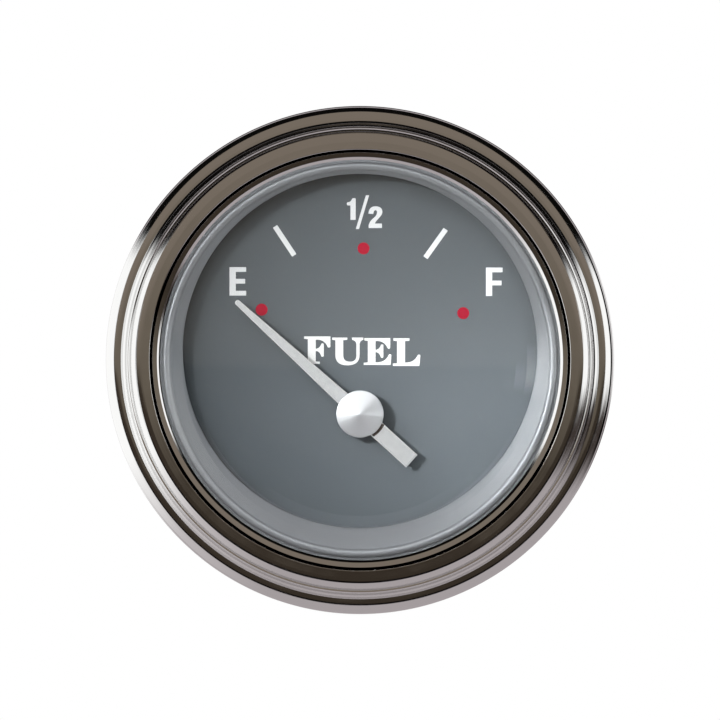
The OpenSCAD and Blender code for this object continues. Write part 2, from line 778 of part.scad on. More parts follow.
// Two rectangular bundles of wire, one each side of the spindle
module winding(inside_x, inside_z0, inside_z1) {
    for (side = [-1, 1]) translate([0, side * (coil_gap + coil_w / 2), 0]) difference() {
        translate([-inside_x - coil_t, -coil_w / 2, inside_z0 - coil_t])
            cube([2 * (inside_x + coil_t), coil_w, inside_z1 - inside_z0 + 2 * coil_t]);
        translate([-inside_x, -coil_w / 2 - cut, inside_z0])
            cube([2 * inside_x, coil_w + 2 * cut, inside_z1 - inside_z0]);
    }
}

module coil_inner() {
    color([0.72, 0.38, 0.18]) at_spindle() rotate([0, 0, 90])
        winding(bobbin_s, bobbin_back_z, bobbin_front_z);
}

module coil_outer() {
    color([0.78, 0.44, 0.22]) at_spindle() winding(bobbin_s, inner_back_z, inner_front_z);
}

module front_bearing() {
    color(brass) at_spindle()
        tube(bearing_r, front_bearing_z, outer_front_z, spindle_r + bearing_clear);
}

// Cup bearing, closed under the spindle's end
module rear_bearing() {
    color(brass) at_spindle() difference() {
        tube(bearing_r, rear_bearing_z, rear_bearing_z + bearing_t);
        tube(spindle_r + bearing_clear, spindle_low_z - bearing_clear, rear_bearing_z + bearing_t + cut);
    }
}

// Steel cup round the windings, with its rim under the front plate
module shield_can() {
    color(steel) at_spindle() difference() {
        tube(shield_r, shield_back_z, plate_back_z);
        tube(shield_ir, outer_back_z, plate_back_z + cut);
    }
}

// Front plate with two ears for the dial's feet
module movement_plate() {
    ear_r = spacer_r + ear_w;
    color(steel) at_spindle() difference() {
        union() {
            tube(shield_r, plate_back_z, plate_z);
            translate([-foot_x, -ear_r, plate_back_z]) cube([2 * foot_x, 2 * ear_r, plate_t]);
            for (side = [-1, 1]) translate([side * foot_x, 0, 0]) tube(ear_r, plate_back_z, plate_z);
        }
        tube(frame_hole_r, plate_back_z - cut, plate_z + cut);
        for (side = [-1, 1]) translate([side * foot_x, 0, 0])
            tube(foot_tip_r + seat_clear, plate_back_z - cut, plate_z + cut);
    }
}

// Two posts between the front plate and the board, tapped for the screws
module frame_spacers() {
    color(brass) at_spindle() for (side = [-1, 1]) translate([side * foot_x, 0, 0]) difference() {
        tube(spacer_r, board_z, plate_back_z);
        tube(foot_tip_r + stud_clear, board_z - cut, board_z + screw_l + screw_spare);
    }
}

// Two screws from behind the board into the spacers
module frame_screws() {
    color(steel) at_spindle() for (side = [-1, 1]) translate([side * foot_x, 0, 0]) {
        tube(foot_tip_r, board_back_z, board_z + screw_l);
        tube(screw_head_r, board_back_z - screw_head_h, board_back_z);
    }
}

// Round board with holes for the lamp, the studs and the screws
module circuit_board() {
    color([0.12, 0.36, 0.2]) stand() difference() {
        tube(board_r, board_back_z, board_z);
        translate([0, lamp_up, board_back_z - cut]) cylinder(r = snout_r + lamp_board_air, h = board_t + 2 * cut);
        for (a = terminal_angles) rotate([0, 0, a]) translate([terminal_circle_r, 0, board_back_z - cut])
            cylinder(r = shaft_hole_r, h = board_t + 2 * cut);
        for (side = [-1, 1]) translate([side * foot_x, -pivot_drop, board_back_z - cut])
            cylinder(r = foot_tip_r + stud_clear, h = board_t + 2 * cut);
    }
}

// Three resistors with their wires bent down to the board
module resistors() {
    lift = resistor_r + resistor_lift;
    color([0.75, 0.65, 0.5]) stand() for (i = [0:2])
        translate([resistor_in - board_r, resistor_up + i * resistor_step, board_z + lift]) {
            rotate([0, 90, 0]) cylinder(r = resistor_r, h = resistor_l, center = true);
            for (side = [-1, 1]) {
                translate([side * (resistor_l + wire_out) / 2, 0, 0]) rotate([0, 90, 0])
                    cylinder(r = wire_r, h = wire_out + 2 * wire_r, center = true);
                translate([side * (resistor_l / 2 + wire_out), 0, -lift]) cylinder(r = wire_r, h = lift);
            }
        }
}

// Stud with a hexagon collar outside, a nut's thread inside and a free end for the wire
module terminal_stud() {
    color(brass) union() {
        tube(stud_r, stud_free_z - stud_free_l + stud_chamfer, stud_top_z);
        hexagon(collar_af, stud_free_z, collar_z);
        translate([0, 0, stud_end_z]) cylinder(r1 = stud_r - stud_chamfer, r2 = stud_r, h = stud_chamfer);
    }
}

module terminal_stud_ignition() {
    at_terminal(0) terminal_stud();
}

module terminal_stud_sender() {
    at_terminal(1) terminal_stud();
}

module terminal_stud_ground() {
    at_terminal(2) terminal_stud();
}

// Washers with a sleeve through the case, between the case's floor and the board
module terminal_insulators_inner() {
    color([0.55, 0.3, 0.15]) for (i = [0:2]) at_terminal(i) difference() {
        union() {
            tube(sleeve_r + insulator_lap, floor_z, board_back_z);
            tube(sleeve_r, back_z, floor_z);
        }
        tube(shaft_hole_r, back_z - cut, board_back_z + cut);
    }
}

// Fibre washers between the case and the studs' collars
module terminal_insulators_outer() {
    color([0.5, 0.28, 0.14]) for (i = [0:2]) at_terminal(i)
        tube(insulator_r, collar_z, back_z, shaft_hole_r);
}

module terminal_nuts() {
    color(brass) for (i = [0:2]) at_terminal(i) hexagon(nut_af, board_z, board_z + nut_t, shaft_hole_r);
}

// Two studs clinched in the case's floor
module bracket_studs() {
    color(steel) for (side = [-1, 1]) at_bracket_stud(side) {
        tube(stud_r, bracket_stud_end_z + stud_chamfer, floor_z);
        tube(clinch_r, floor_z, floor_z + clinch_t);
        translate([0, 0, bracket_stud_end_z])
            cylinder(r1 = stud_r - stud_chamfer, r2 = stud_r, h = stud_chamfer);
    }
}

// Bent strip: two legs beside the case and a bridge behind it
module mounting_bracket() {
    outer_x = leg_x + strip_t;
    inner_c = [leg_x - bend_r, bridge_z + bend_r];
    right_out = arc(inner_c, bend_r + strip_t, 0, -90);
    right_in = arc(inner_c, bend_r, -90, 0);
    function mirrored(points) = [for (i = [len(points) - 1:-1:0]) [-points[i][0], points[i][1]]];
    color(steel) stand() difference() {
        rotate([90, 0, 0]) linear_extrude(strip_w, center = true) polygon(concat(
            [[leg_x, foot_z], [outer_x, foot_z]], right_out,
            mirrored(right_out), [[-outer_x, foot_z], [-leg_x, foot_z]],
            mirrored(right_in), right_in));
        for (side = [-1, 1]) translate([side * bracket_stud_x, 0, bridge_back_z - cut])
            cylinder(r = stud_r + bridge_clear, h = strip_t + 2 * cut);
    }
}

// Split washers under the thumb nuts
module bracket_lock_washers() {
    color(steel) for (side = [-1, 1]) at_bracket_stud(side) difference() {
        tube(washer_r, washer_low_z, bridge_back_z, stud_r + bridge_clear);
        translate([0, -split_w / 2, washer_low_z - cut]) cube([washer_r + cut, split_w, washer_t + 2 * cut]);
    }
}

// Round nut with a collar and a fluted grip
module thumb_nut() {
    color(brass) difference() {
        union() {
            tube(thumb_d / 2, nut_top_z - thumb_t, nut_top_z);
            tube(thumb_collar_r, nut_low_z, nut_top_z - thumb_t);
        }
        tube(shaft_hole_r, nut_low_z - cut, nut_top_z + cut);
        for (i = [0:thumb_flutes - 1]) rotate([0, 0, i * 360 / thumb_flutes])
            translate([thumb_d / 2 + flute_r / 3, 0, 0]) tube(flute_r, nut_top_z - thumb_t - cut / 2, nut_top_z + cut, 0);
    }
}

module thumb_nut_left() {
    at_bracket_stud(-1) thumb_nut();
}

module thumb_nut_right() {
    at_bracket_stud(1) thumb_nut();
}

// Push-in holder: a snout in the case's hole, a flange behind it and a short body
module lamp_holder() {
    color([0.1, 0.1, 0.11]) stand() translate([0, lamp_up, 0]) difference() {
        union() {
            tube(snout_r, lamp_flange_z, snout_top_z);
            tube(lamp_flange_r, lamp_body_z, lamp_flange_z);
            tube(snout_r, lamp_end_z, lamp_body_z);
        }
        tube(cap_r + seat_clear, cap_low_z, snout_top_z + cut);
    }
}

// Flat blade for the lamp's wire
module lamp_contact_tab() {
    color(brass) stand() translate([-tab_w / 2, lamp_up - tab_t / 2, lamp_end_z - tab_l])
        cube([tab_w, tab_t, tab_l]);
}

// Bulb's metal cap, open at the front for the glass
module bulb_cap() {
    color(brass) stand() translate([0, lamp_up, 0]) difference() {
        tube(cap_r, cap_low_z, cap_top_z);
        tube(neck_r + seat_clear, cap_low_z + cap_base, cap_top_z + cut);
    }
}

// Hollow globe with a neck in the cap
module bulb_glass() {
    neck_l = cap_out + cap_base;
    color([0.9, 0.9, 0.85, 0.4]) stand() translate([0, lamp_up, 0]) difference() {
        union() {
            translate([0, 0, globe_c_z]) sphere(r = globe_r);
            tube(neck_r, cap_top_z - neck_l, globe_c_z);
        }
        translate([0, 0, globe_c_z]) sphere(r = globe_r - globe_t);
        tube(neck_r - globe_t, cap_top_z - neck_l + globe_t, globe_c_z);
    }
}

bezel();
lens_glass();
lens_gasket();
trim_ring();
dial_plate();
dial_feet();
case_can();
pointer_blade();
pointer_hub_cap();
pointer_bush();
spindle();
rotor_magnet();
hairspring();
hairspring_collet();
hairspring_stud();
stop_arm();
stop_pins();
bobbin_front();
bobbin_back();
coil_inner();
coil_outer();
front_bearing();
rear_bearing();
shield_can();
movement_plate();
frame_spacers();
frame_screws();
circuit_board();
resistors();
terminal_stud_ignition();
terminal_stud_sender();
terminal_stud_ground();
terminal_insulators_inner();
terminal_insulators_outer();
terminal_nuts();
bracket_studs();
mounting_bracket();
bracket_lock_washers();
thumb_nut_left();
thumb_nut_right();
lamp_holder();
lamp_contact_tab();
bulb_cap();
bulb_glass();
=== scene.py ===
from math import asin, atan, cos, degrees, pi, radians, sin, sqrt, tan

import bmesh
import bpy
from mathutils import Matrix, Vector


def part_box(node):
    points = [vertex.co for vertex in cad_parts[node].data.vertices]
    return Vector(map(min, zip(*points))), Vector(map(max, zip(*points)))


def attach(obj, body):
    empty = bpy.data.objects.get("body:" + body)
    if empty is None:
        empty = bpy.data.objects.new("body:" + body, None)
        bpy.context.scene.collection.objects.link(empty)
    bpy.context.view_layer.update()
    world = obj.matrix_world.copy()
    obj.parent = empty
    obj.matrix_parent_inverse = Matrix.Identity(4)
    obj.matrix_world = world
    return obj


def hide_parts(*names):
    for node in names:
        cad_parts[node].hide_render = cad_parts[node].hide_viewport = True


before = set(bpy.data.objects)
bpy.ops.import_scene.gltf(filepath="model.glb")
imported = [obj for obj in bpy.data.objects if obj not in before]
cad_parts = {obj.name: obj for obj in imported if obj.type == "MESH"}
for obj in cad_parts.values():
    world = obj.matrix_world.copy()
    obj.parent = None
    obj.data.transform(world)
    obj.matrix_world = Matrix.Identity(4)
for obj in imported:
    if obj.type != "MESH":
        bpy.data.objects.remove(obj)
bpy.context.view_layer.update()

scene = bpy.context.scene

# Camera. It looks straight at the dial through a long lens, so the stepped
# bezel shows as even circles. The view is 85.6 mm wide at the dial.
view_width = 0.0856
camera_distance = 1.2
camera_data = bpy.data.cameras.new("camera")
camera_data.sensor_width = 36
camera_data.lens = camera_data.sensor_width * camera_distance / view_width
camera = bpy.data.objects.new("camera", camera_data)
camera.location = (0, -camera_distance, 0)
camera.rotation_euler = (pi / 2, 0, 0)
scene.collection.objects.link(camera)
scene.camera = camera
scene.view_settings.view_transform = "Standard"


def tint(code):
    """A colour written in sRGB hex, as linear values."""
    levels = [int(code[i:i + 2], 16) / 255 for i in (1, 3, 5)]
    return (*[v / 12.92 if v <= 0.04045 else ((v + 0.055) / 1.055) ** 2.4 for v in levels], 1)


def add(tree, kind, inputs=None, **settings):
    """One more node in a tree, with its settings, its values and its links."""
    made = tree.nodes.new(kind)
    for name, value in settings.items():
        setattr(made, name, value)
    for name, value in (inputs or {}).items():
        if isinstance(value, bpy.types.NodeSocket):
            tree.links.new(value, made.inputs[name])
        else:
            made.inputs[name].default_value = value
    return made


def set_stops(ramp, stops):
    """Gives a colour ramp its stops, as places and hex colours."""
    row = ramp.color_ramp.elements
    while len(row) < len(stops):
        row.new(0.5)
    for element, (place, code) in zip(row, stops):
        element.position = place
        element.color = tint(code)


# Studio. White paper all round for the camera. What shines is shown a studio's
# boards instead: a brown-grey one behind the camera, white ones at the left and
# right, a black one overhead and a pale pinkish one low down.
front_top, front_middle, front_low = "#746A60", "#655D52", "#342D26"
board_black, board_white, board_dim, board_low = "#0A0908", "#FBFBFB", "#3A3330", "#A49D9F"
stop_black, stop_white, slot_black = "#000000", "#FFFFFF", "#141210"
fade_half = 0.0275  # half the height of the fade, per metre of distance
ambient, board_light = 0.34, 1.45
world = bpy.data.worlds.new("studio")
scene.world = world
world.use_nodes = True
tree = world.node_tree
tree.nodes.clear()
heading = add(tree, "ShaderNodeTexCoord").outputs["Generated"]
split = add(tree, "ShaderNodeSeparateXYZ", {0: heading})
toward = add(tree, "ShaderNodeMath", {0: split.outputs["Y"], 1: -1.0}, operation="MULTIPLY")
lean = add(tree, "ShaderNodeMath", {0: toward.outputs[0]}, operation="ARCCOSINE")
half_turn = add(tree, "ShaderNodeMath", {0: lean.outputs[0], 1: pi}, operation="DIVIDE")
around = add(tree, "ShaderNodeMath", {0: split.outputs["X"], 1: split.outputs["Z"]}, operation="ARCTAN2")
turn = add(tree, "ShaderNodeMapRange", {"Value": around.outputs[0], "From Min": -pi, "From Max": pi})
# The boards' straight edges waver a little, as a spun mirror shows them.
leaning = add(tree, "ShaderNodeCombineXYZ", {"X": lean.outputs[0]})
frayed = add(tree, "ShaderNodeTexNoise", {"Vector": leaning.outputs[0], "Scale": 9.0, "Detail": 3.0})
fray = add(tree, "ShaderNodeMapRange", {"Value": frayed.outputs[0], "To Min": -0.035, "To Max": 0.035})
edged = add(tree, "ShaderNodeMath", {0: turn.outputs[0], 1: fray.outputs[0]}, operation="ADD")
# Round the view from the bottom: low board, left board, overhead board, right board.
boards = add(tree, "ShaderNodeValToRGB", {0: edged.outputs[0]})
set_stops(boards, [
    (0.0, board_low), (0.06, board_low), (0.125, "#BDB7B9"), (0.185, board_white), (0.318, board_white),
    (0.334, board_black), (0.675, board_black), (0.695, board_white), (0.765, board_white),
    (0.785, board_dim), (0.81, board_dim), (0.84, board_low), (1.0, board_low)])
# The right board has a dark slot between its near and its far part.
right_bands = add(tree, "ShaderNodeValToRGB", {0: half_turn.outputs[0]})
set_stops(right_bands, [(0.14, stop_white), (0.265, stop_white), (0.285, slot_black), (0.455, slot_black),
                        (0.49, stop_white), (0.80, stop_white)])
right_side = add(tree, "ShaderNodeValToRGB", {0: turn.outputs[0]})
set_stops(right_side, [(0.66, stop_black), (0.68, stop_white), (0.80, stop_white), (0.83, stop_black)])
banded = add(tree, "ShaderNodeMix", {0: right_side.outputs[0], 6: boards.outputs[0],
                                     7: right_bands.outputs[0]}, data_type="RGBA", blend_type="MULTIPLY")
# The board behind the camera is round, fades downwards and hangs high, with a
# thin dark gap below and beside it.
height = add(tree, "ShaderNodeMapRange", {"Value": split.outputs["Z"], "From Min": -fade_half,
                                          "From Max": fade_half})
behind_camera = add(tree, "ShaderNodeValToRGB", {0: height.outputs[0]})
set_stops(behind_camera, [(0.27, front_low), (0.44, front_middle), (1.0, front_top)])
gap_board = add(tree, "ShaderNodeValToRGB", {0: edged.outputs[0]})
set_stops(gap_board, [(0.0, board_black), (0.685, board_black), (0.70, board_white), (0.77, board_white),
                      (0.79, board_black), (1.0, board_black)])


def off_centre(tilt, near, far):
    """From 0 to 1 across the edge of a round board centred a tilt above the camera, in degrees."""
    middle = (0, -cos(radians(tilt)), sin(radians(tilt)))
    cosine = add(tree, "ShaderNodeVectorMath", {0: heading, 1: middle}, operation="DOT_PRODUCT")
    apart = add(tree, "ShaderNodeMath", {0: cosine.outputs["Value"]}, operation="ARCCOSINE")
    return add(tree, "ShaderNodeMapRange", {"Value": apart.outputs[0], "From Min": radians(near),
                                            "From Max": radians(far)})


gap = off_centre(6.5, 12.8, 14.0)
framed = add(tree, "ShaderNodeMix", {0: gap.outputs[0], 6: behind_camera.outputs[0], 7: gap_board.outputs[0]},
             data_type="RGBA")
beyond = off_centre(2.0, 12.6, 13.8)
past_gap = add(tree, "ShaderNodeMath", {0: beyond.outputs[0], 1: gap.outputs[0]}, operation="MULTIPLY")
shown = add(tree, "ShaderNodeMix", {0: past_gap.outputs[0], 6: framed.outputs[2], 7: banded.outputs[2]},
            data_type="RGBA")
# Beside and behind the gauge, where its rim looks, the left board alone is white.
rim_boards = add(tree, "ShaderNodeValToRGB", {0: edged.outputs[0]})
set_stops(rim_boards, [(0.0, board_low), (0.13, board_low), (0.185, board_white), (0.318, board_white),
                       (0.334, board_low), (1.0, board_low)])
rim_band = add(tree, "ShaderNodeValToRGB", {0: half_turn.outputs[0]})
set_stops(rim_band, [(0.50, stop_black), (0.53, stop_white), (0.645, stop_white), (0.67, stop_black)])
rimmed = add(tree, "ShaderNodeMix", {0: rim_band.outputs[0], 6: shown.outputs[2], 7: rim_boards.outputs[0]},
             data_type="RGBA")
far_side = add(tree, "ShaderNodeMapRange", {"Value": lean.outputs[0], "From Min": radians(146),
                                            "From Max": radians(156)})
reflected = add(tree, "ShaderNodeMix", {0: far_side.outputs[0], 6: rimmed.outputs[2], 7: tint(board_low)},
                data_type="RGBA")
# Reflections see the boards, the camera sees white, and the rest is soft fill.
path = add(tree, "ShaderNodeLightPath").outputs
colour = add(tree, "ShaderNodeMix", {0: path["Is Glossy Ray"], 6: (1, 1, 1, 1), 7: reflected.outputs[2]},
             data_type="RGBA")
clear_view = add(tree, "ShaderNodeMath", {0: path["Is Camera Ray"], 1: path["Is Transmission Ray"]},
                 operation="MAXIMUM")
seen = add(tree, "ShaderNodeMapRange", {"Value": clear_view.outputs[0], "To Min": ambient, "To Max": 1.0})
strength = add(tree, "ShaderNodeMapRange", {"Value": path["Is Glossy Ray"], "To Min": seen.outputs[0],
                                            "To Max": board_light})
backdrop = add(tree, "ShaderNodeBackground", {"Color": colour.outputs[2], "Strength": strength.outputs[0]})
add(tree, "ShaderNodeOutputWorld", {"Surface": backdrop.outputs[0]})

# Lamps. Soft boxes at the left, at the right, above, below and behind. The bezel
# is a mirror and is left out of their light, so that it shows the boards and not
# the lamps, and its lip throws no shadow. The two fill lamps spare the hub cap
# too. The sheen is meant for the dial, and spares the pointer, its cap, the trim
# ring and the red dots.
spared = bpy.data.collections.new("spared_by_lamps")
spared_by_fills = bpy.data.collections.new("spared_by_fill_lamps")
spared_by_sheen = bpy.data.collections.new("spared_by_sheen")


def spare(piece, group):
    """Leaves a piece out of the light of the lamps that spare a group."""
    group.objects.link(piece)
    group.collection_objects[-1].light_linking.link_state = "EXCLUDE"


def hang(lamp_data, place, aim, left_out):
    """Puts a lamp in its place, facing its aim."""
    lamp = bpy.data.objects.new(lamp_data.name, lamp_data)
    lamp.location = place
    lamp.rotation_euler = (Vector(aim) - Vector(place)).to_track_quat("-Z", "Y").to_euler()
    lamp.light_linking.receiver_collection = left_out
    lamp.light_linking.blocker_collection = spared
    scene.collection.objects.link(lamp)


def soft_lamp(name, place, width, height, watts, left_out=spared):
    """A soft box, wide and high as given, that faces the dial."""
    box = bpy.data.lights.new(name, "AREA")
    box.shape = "RECTANGLE"
    box.size = width
    box.size_y = height
    box.energy = watts
    hang(box, place, (0, 0, 0), left_out)


soft_lamp("key_left", (-0.56, -0.46, 0.13), 0.24, 0.24, 1.9)
soft_lamp("fill_right", (0.62, -0.42, -0.06), 0.30, 0.30, 1.3, left_out=spared_by_fills)
soft_lamp("strip_above", (-0.10, -0.60, 0.40), 1.20, 0.22, 2.0)
soft_lamp("fill_below", (0.0, -0.40, -0.50), 0.40, 0.20, 1.0, left_out=spared_by_fills)
soft_lamp("fill_behind", (-0.45, 0.62, 0.40), 0.40, 0.40, 3.2)

# A narrow spot with a soft edge gives the dial its sheen right of the middle.
sheen = bpy.data.lights.new("sheen_left", "SPOT")
sheen.energy = 20
sheen.spot_size = radians(8.6)
sheen.spot_blend = 1.0
sheen.shadow_soft_size = 0.02
hang(sheen, (-0.21, -0.33, 0.10), (0.018, 0, -0.007), spared_by_sheen)

# Floor. Plain white paper under the gauge, below the view, where it takes the
# shadow. The camera sees it as white as the backdrop.
floor_z = -0.062
floor_half = 0.9
floor_mesh = bpy.data.meshes.new("floor")
floor_mesh.from_pydata(
    [(x, y, floor_z) for x, y in ((-floor_half, -floor_half), (floor_half, -floor_half),
                                  (floor_half, floor_half), (-floor_half, floor_half))], [], [(0, 1, 2, 3)])
floor = bpy.data.objects.new("floor", floor_mesh)
scene.collection.objects.link(floor)
paper = bpy.data.materials.new("white paper")
paper.use_nodes = True
tree = paper.node_tree
tree.nodes.clear()
path = add(tree, "ShaderNodeLightPath").outputs
matt = add(tree, "ShaderNodeBsdfDiffuse", {"Color": tint("#E6E6E4")})
glow = add(tree, "ShaderNodeEmission", {"Color": (1, 1, 1, 1)})
lit = add(tree, "ShaderNodeMixShader", {0: path["Is Camera Ray"], 1: matt.outputs[0], 2: glow.outputs[0]})
# Polished parts see past the paper, to the boards.
open_view = add(tree, "ShaderNodeBsdfTransparent")
mixed = add(tree, "ShaderNodeMixShader", {0: path["Is Glossy Ray"], 1: lit.outputs[0],
                                          2: open_view.outputs[0]})
add(tree, "ShaderNodeOutputMaterial", {"Surface": mixed.outputs[0]})
floor_mesh.materials.append(paper)

# Bezel. A steel ring spun over the case's flange, polished and chromed. From the
# rim inwards it has a crowned land, a steep double riser with a bead, a broad
# front land, a groove painted near black as shade and a lip that rolls in over the glass.
mm = 0.001
bezel_low, bezel_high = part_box("bezel")
bezel_r = bezel_high.x / mm
front_z = -bezel_low.y / mm
land_r = bezel_r - 0.85
riser_r = land_r - 0.9
front_r = riser_r - 1.8
groove_r = front_r - 1.7
ledge_r = groove_r - 0.35
lip_r = ledge_r - 0.85
land_z = front_z - 2.8
lens_front = front_z - 1.2
bezel_wall = 0.7
rim_r = 27.6
rim_edge = 0.5


def place(x, y, z):
    """A point of the dial's own frame, in millimetres, as a place in the scene."""
    return Vector((x, -z, y)) * mm


def arc(centre, r, start, end, steps=10):
    """Points of an arc between two angles in degrees."""
    angles = [radians(start + (end - start) * i / steps) for i in range(steps + 1)]
    return [(centre[0] + r * cos(a), centre[1] + r * sin(a)) for a in angles]


def shape(name, vertices, faces, sharp=32):
    """A closed mesh object with its faces outwards and its hard edges kept."""
    mesh = bpy.data.meshes.new(name)
    mesh.from_pydata(vertices, [], faces)
    form = bmesh.new()
    form.from_mesh(mesh)
    bmesh.ops.remove_doubles(form, verts=form.verts, dist=1e-7)
    bmesh.ops.dissolve_degenerate(form, edges=form.edges, dist=1e-8)
    bmesh.ops.recalc_face_normals(form, faces=form.faces)
    form.to_mesh(mesh)
    form.free()
    mesh.shade_smooth()
    mesh.set_sharp_from_angle(angle=radians(sharp))
    made = bpy.data.objects.new(name, mesh)
    scene.collection.objects.link(made)
    return made


def held_flat(outline, keep=0.04):
    """The outline with a point just inside each end of a long side, which keeps the side flat."""
    row = []
    for i, (r, z) in enumerate(outline):
        row.append((r, z))
        next_r, next_z = outline[(i + 1) % len(outline)]
        length = sqrt((next_r - r) ** 2 + (next_z - z) ** 2)
        if length > 4 * keep:
            row += [(r + (next_r - r) * t, z + (next_z - z) * t) for t in (keep / length, 1 - keep / length)]
    return row


def skin(name, sections, sharp=32):
    """A ring-shaped piece whose surface joins closed sections, each to the next and the last to the first."""
    steps, count = len(sections), len(sections[0])
    faces = []
    for i in range(steps):
        here, there = i * count, (i + 1) % steps * count
        faces += [(here + j, here + (j + 1) % count, there + (j + 1) % count, there + j)
                  for j in range(count)]
    return shape(name, [point for section in sections for point in section], faces, sharp)


def turned(name, outline, centre=(0, 0), steps=256, sharp=32):
    """A piece turned from a closed outline of radii and heights."""
    outline = held_flat(outline)
    sections = []
    for i in range(steps):
        a = 2 * pi * i / steps
        sections.append([place(centre[0] + r * cos(a), centre[1] + r * sin(a), z) for r, z in outline])
    return skin(name, sections, sharp)


def fit(piece, body, slot, material, *nodes):
    """Gives a finished piece its material, its body and the solids that it stands for."""
    piece.data.materials.clear()
    piece.data.materials.append(material)
    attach(piece, body)
    if nodes:
        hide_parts(*nodes)


def new_material(name, inputs=None):
    """A material with its tree of nodes and its surface shader, whose inputs are given."""
    made = bpy.data.materials.new(name)
    made.use_nodes = True
    made.node_tree.nodes.clear()
    surface = add(made.node_tree, "ShaderNodeBsdfPrincipled", inputs)
    add(made.node_tree, "ShaderNodeOutputMaterial", {"Surface": surface.outputs[0]})
    return made, made.node_tree, surface


def from_axis(tree, up=0):
    """A point's distance from the dial's axis, or from one so many millimetres up, and its parts."""
    where = add(tree, "ShaderNodeTexCoord").outputs["Object"]
    moved = add(tree, "ShaderNodeMapping", {"Vector": where, "Location": (0, 0, -up * mm)})
    parts = add(tree, "ShaderNodeSeparateXYZ", {0: moved.outputs[0]})
    flat = add(tree, "ShaderNodeCombineXYZ", {"X": parts.outputs["X"], "Y": parts.outputs["Z"]})
    radius = add(tree, "ShaderNodeVectorMath", {0: flat.outputs[0]}, operation="LENGTH")
    return radius.outputs["Value"], parts.outputs


def ring_lines(tree, pitch, up=0):
    """Fine rings round an axis, a pitch in millimetres apart, as turning leaves them."""
    radius, parts = from_axis(tree, up)
    along = add(tree, "ShaderNodeCombineXYZ", {"X": radius})
    return add(tree, "ShaderNodeTexNoise", {"Vector": along.outputs[0], "Scale": 1 / (pitch * mm),
                                            "Detail": 2.0, "Roughness": 0.3})


# Nickel and chrome plate: a mirror with a warm grey tone. Faint waves of the
# spun steel and a fine haze of wiping marks break its reflections up.
chrome, tree, surface = new_material("bright chrome plate", {"Metallic": 1.0})
where = add(tree, "ShaderNodeTexCoord").outputs["Object"]
smears = add(tree, "ShaderNodeTexNoise", {"Vector": where, "Scale": 1 / (3.846 * mm), "Detail": 3.0})
haze = add(tree, "ShaderNodeMapRange", {"Value": smears.outputs[0], "From Min": 0.35, "From Max": 0.7,
                                        "To Min": 0.03, "To Max": 0.08})
tree.links.new(haze.outputs[0], surface.inputs["Roughness"])
# A painted shade: the groove inside the front land is coloured near black, for the dark of its hollow.
groove_shade_half, groove_shade_top = 0.17, 0.035
radius, parts = from_axis(tree)
in_groove = add(tree, "ShaderNodeMath", {0: radius, 1: (groove_r - groove_shade_half) * mm, 2: groove_shade_half * mm},
                operation="COMPARE")
low_down = add(tree, "ShaderNodeMath", {0: parts["Y"], 1: (groove_shade_top - front_z) * mm},
               operation="GREATER_THAN")
groove_shade = add(tree, "ShaderNodeMath", {0: in_groove.outputs[0], 1: low_down.outputs[0]}, operation="MULTIPLY")
plating_and_groove_shade = add(tree, "ShaderNodeMix", {0: groove_shade.outputs[0], 6: tint("#D7D7D6"), 7: tint("#1A1613")},
              data_type="RGBA")
tree.links.new(plating_and_groove_shade.outputs[2], surface.inputs["Base Color"])
spun = ring_lines(tree, 0.35)
relief = add(tree, "ShaderNodeBump", {"Height": spun.outputs[0], "Strength": 0.06, "Distance": 0.01 * mm})
tree.links.new(relief.outputs[0], surface.inputs["Normal"])


def stepped(start, *moves):
    """Points of a section, each a move inwards and up from the last."""
    row = [start]
    for inwards, up in moves:
        row.append((row[-1][0] - inwards, row[-1][1] + up))
    return row


crown_tilt = 10


def crowned(wall_r, crown_end, flat_end, z, steps):
    """A land's outer side, from its wall inwards: a round corner, then a soft crown that runs out flat."""
    crown_r = (crown_end - flat_end) / sin(radians(crown_tilt))
    corner_r = (wall_r - crown_end) / (1 - sin(radians(crown_tilt)))
    corner_z = z - crown_r * (1 - cos(radians(crown_tilt))) - corner_r * cos(radians(crown_tilt))
    return [*arc((wall_r - corner_r, corner_z), corner_r, 0, 90 - crown_tilt, steps),
            *arc((flat_end, z - crown_r), crown_r, 90 - crown_tilt, 90, 6)]


land_crown_r, land_flat_r = land_r + 0.26, land_r - 0.62
# The riser climbs inwards by five moves, each a width and a height.
riser_start = (riser_r - 0.04, land_z)
toe, wall, shoulder = (0.03, 0.02), (0.23, 1.08), (0.03, 0.03)
ledge, bead_toe = (0.20, 0.033), (0.02, 0.027)
riser = stepped(riser_start, toe, wall, shoulder, ledge, bead_toe)
# The bead has a round crest, then a slightly tilted facet and a short flank down
# to the fillet at the front land's wall.
bead_in, bead_up = 1.05, 1.76
crest_round, facet_w, facet_tilt = 0.14, 0.18, 7.5
flank_w, flank_tilt = 0.08, 35
fillet = 0.10
crest = (riser_r - bead_in + crest_round, land_z + bead_up - crest_round)
facet = (crest[0] - crest_round * sin(radians(facet_tilt)) - facet_w,
         crest[1] + crest_round * cos(radians(facet_tilt)) - facet_w * tan(radians(facet_tilt)))
flank_low = (facet[0] - flank_w, facet[1] - flank_w * tan(radians(flank_tilt)))
foot = (flank_low[0] - fillet * sin(radians(flank_tilt)), flank_low[1] + fillet * cos(radians(flank_tilt)))
bead = [*arc(crest, crest_round, 10, 90 + facet_tilt, 12), facet,
        *arc(foot, fillet, 270 + flank_tilt, 184, 12)]
front_wall_r = foot[0] - fillet
front_corner, front_flat_r = 0.08, front_r - 0.73
groove_edge, groove_w, groove_h = 0.06, 0.35, 0.25
ledge_drop, lip_drop = 0.105, 0.125
lip_round, lip_in = 0.65, 0.40
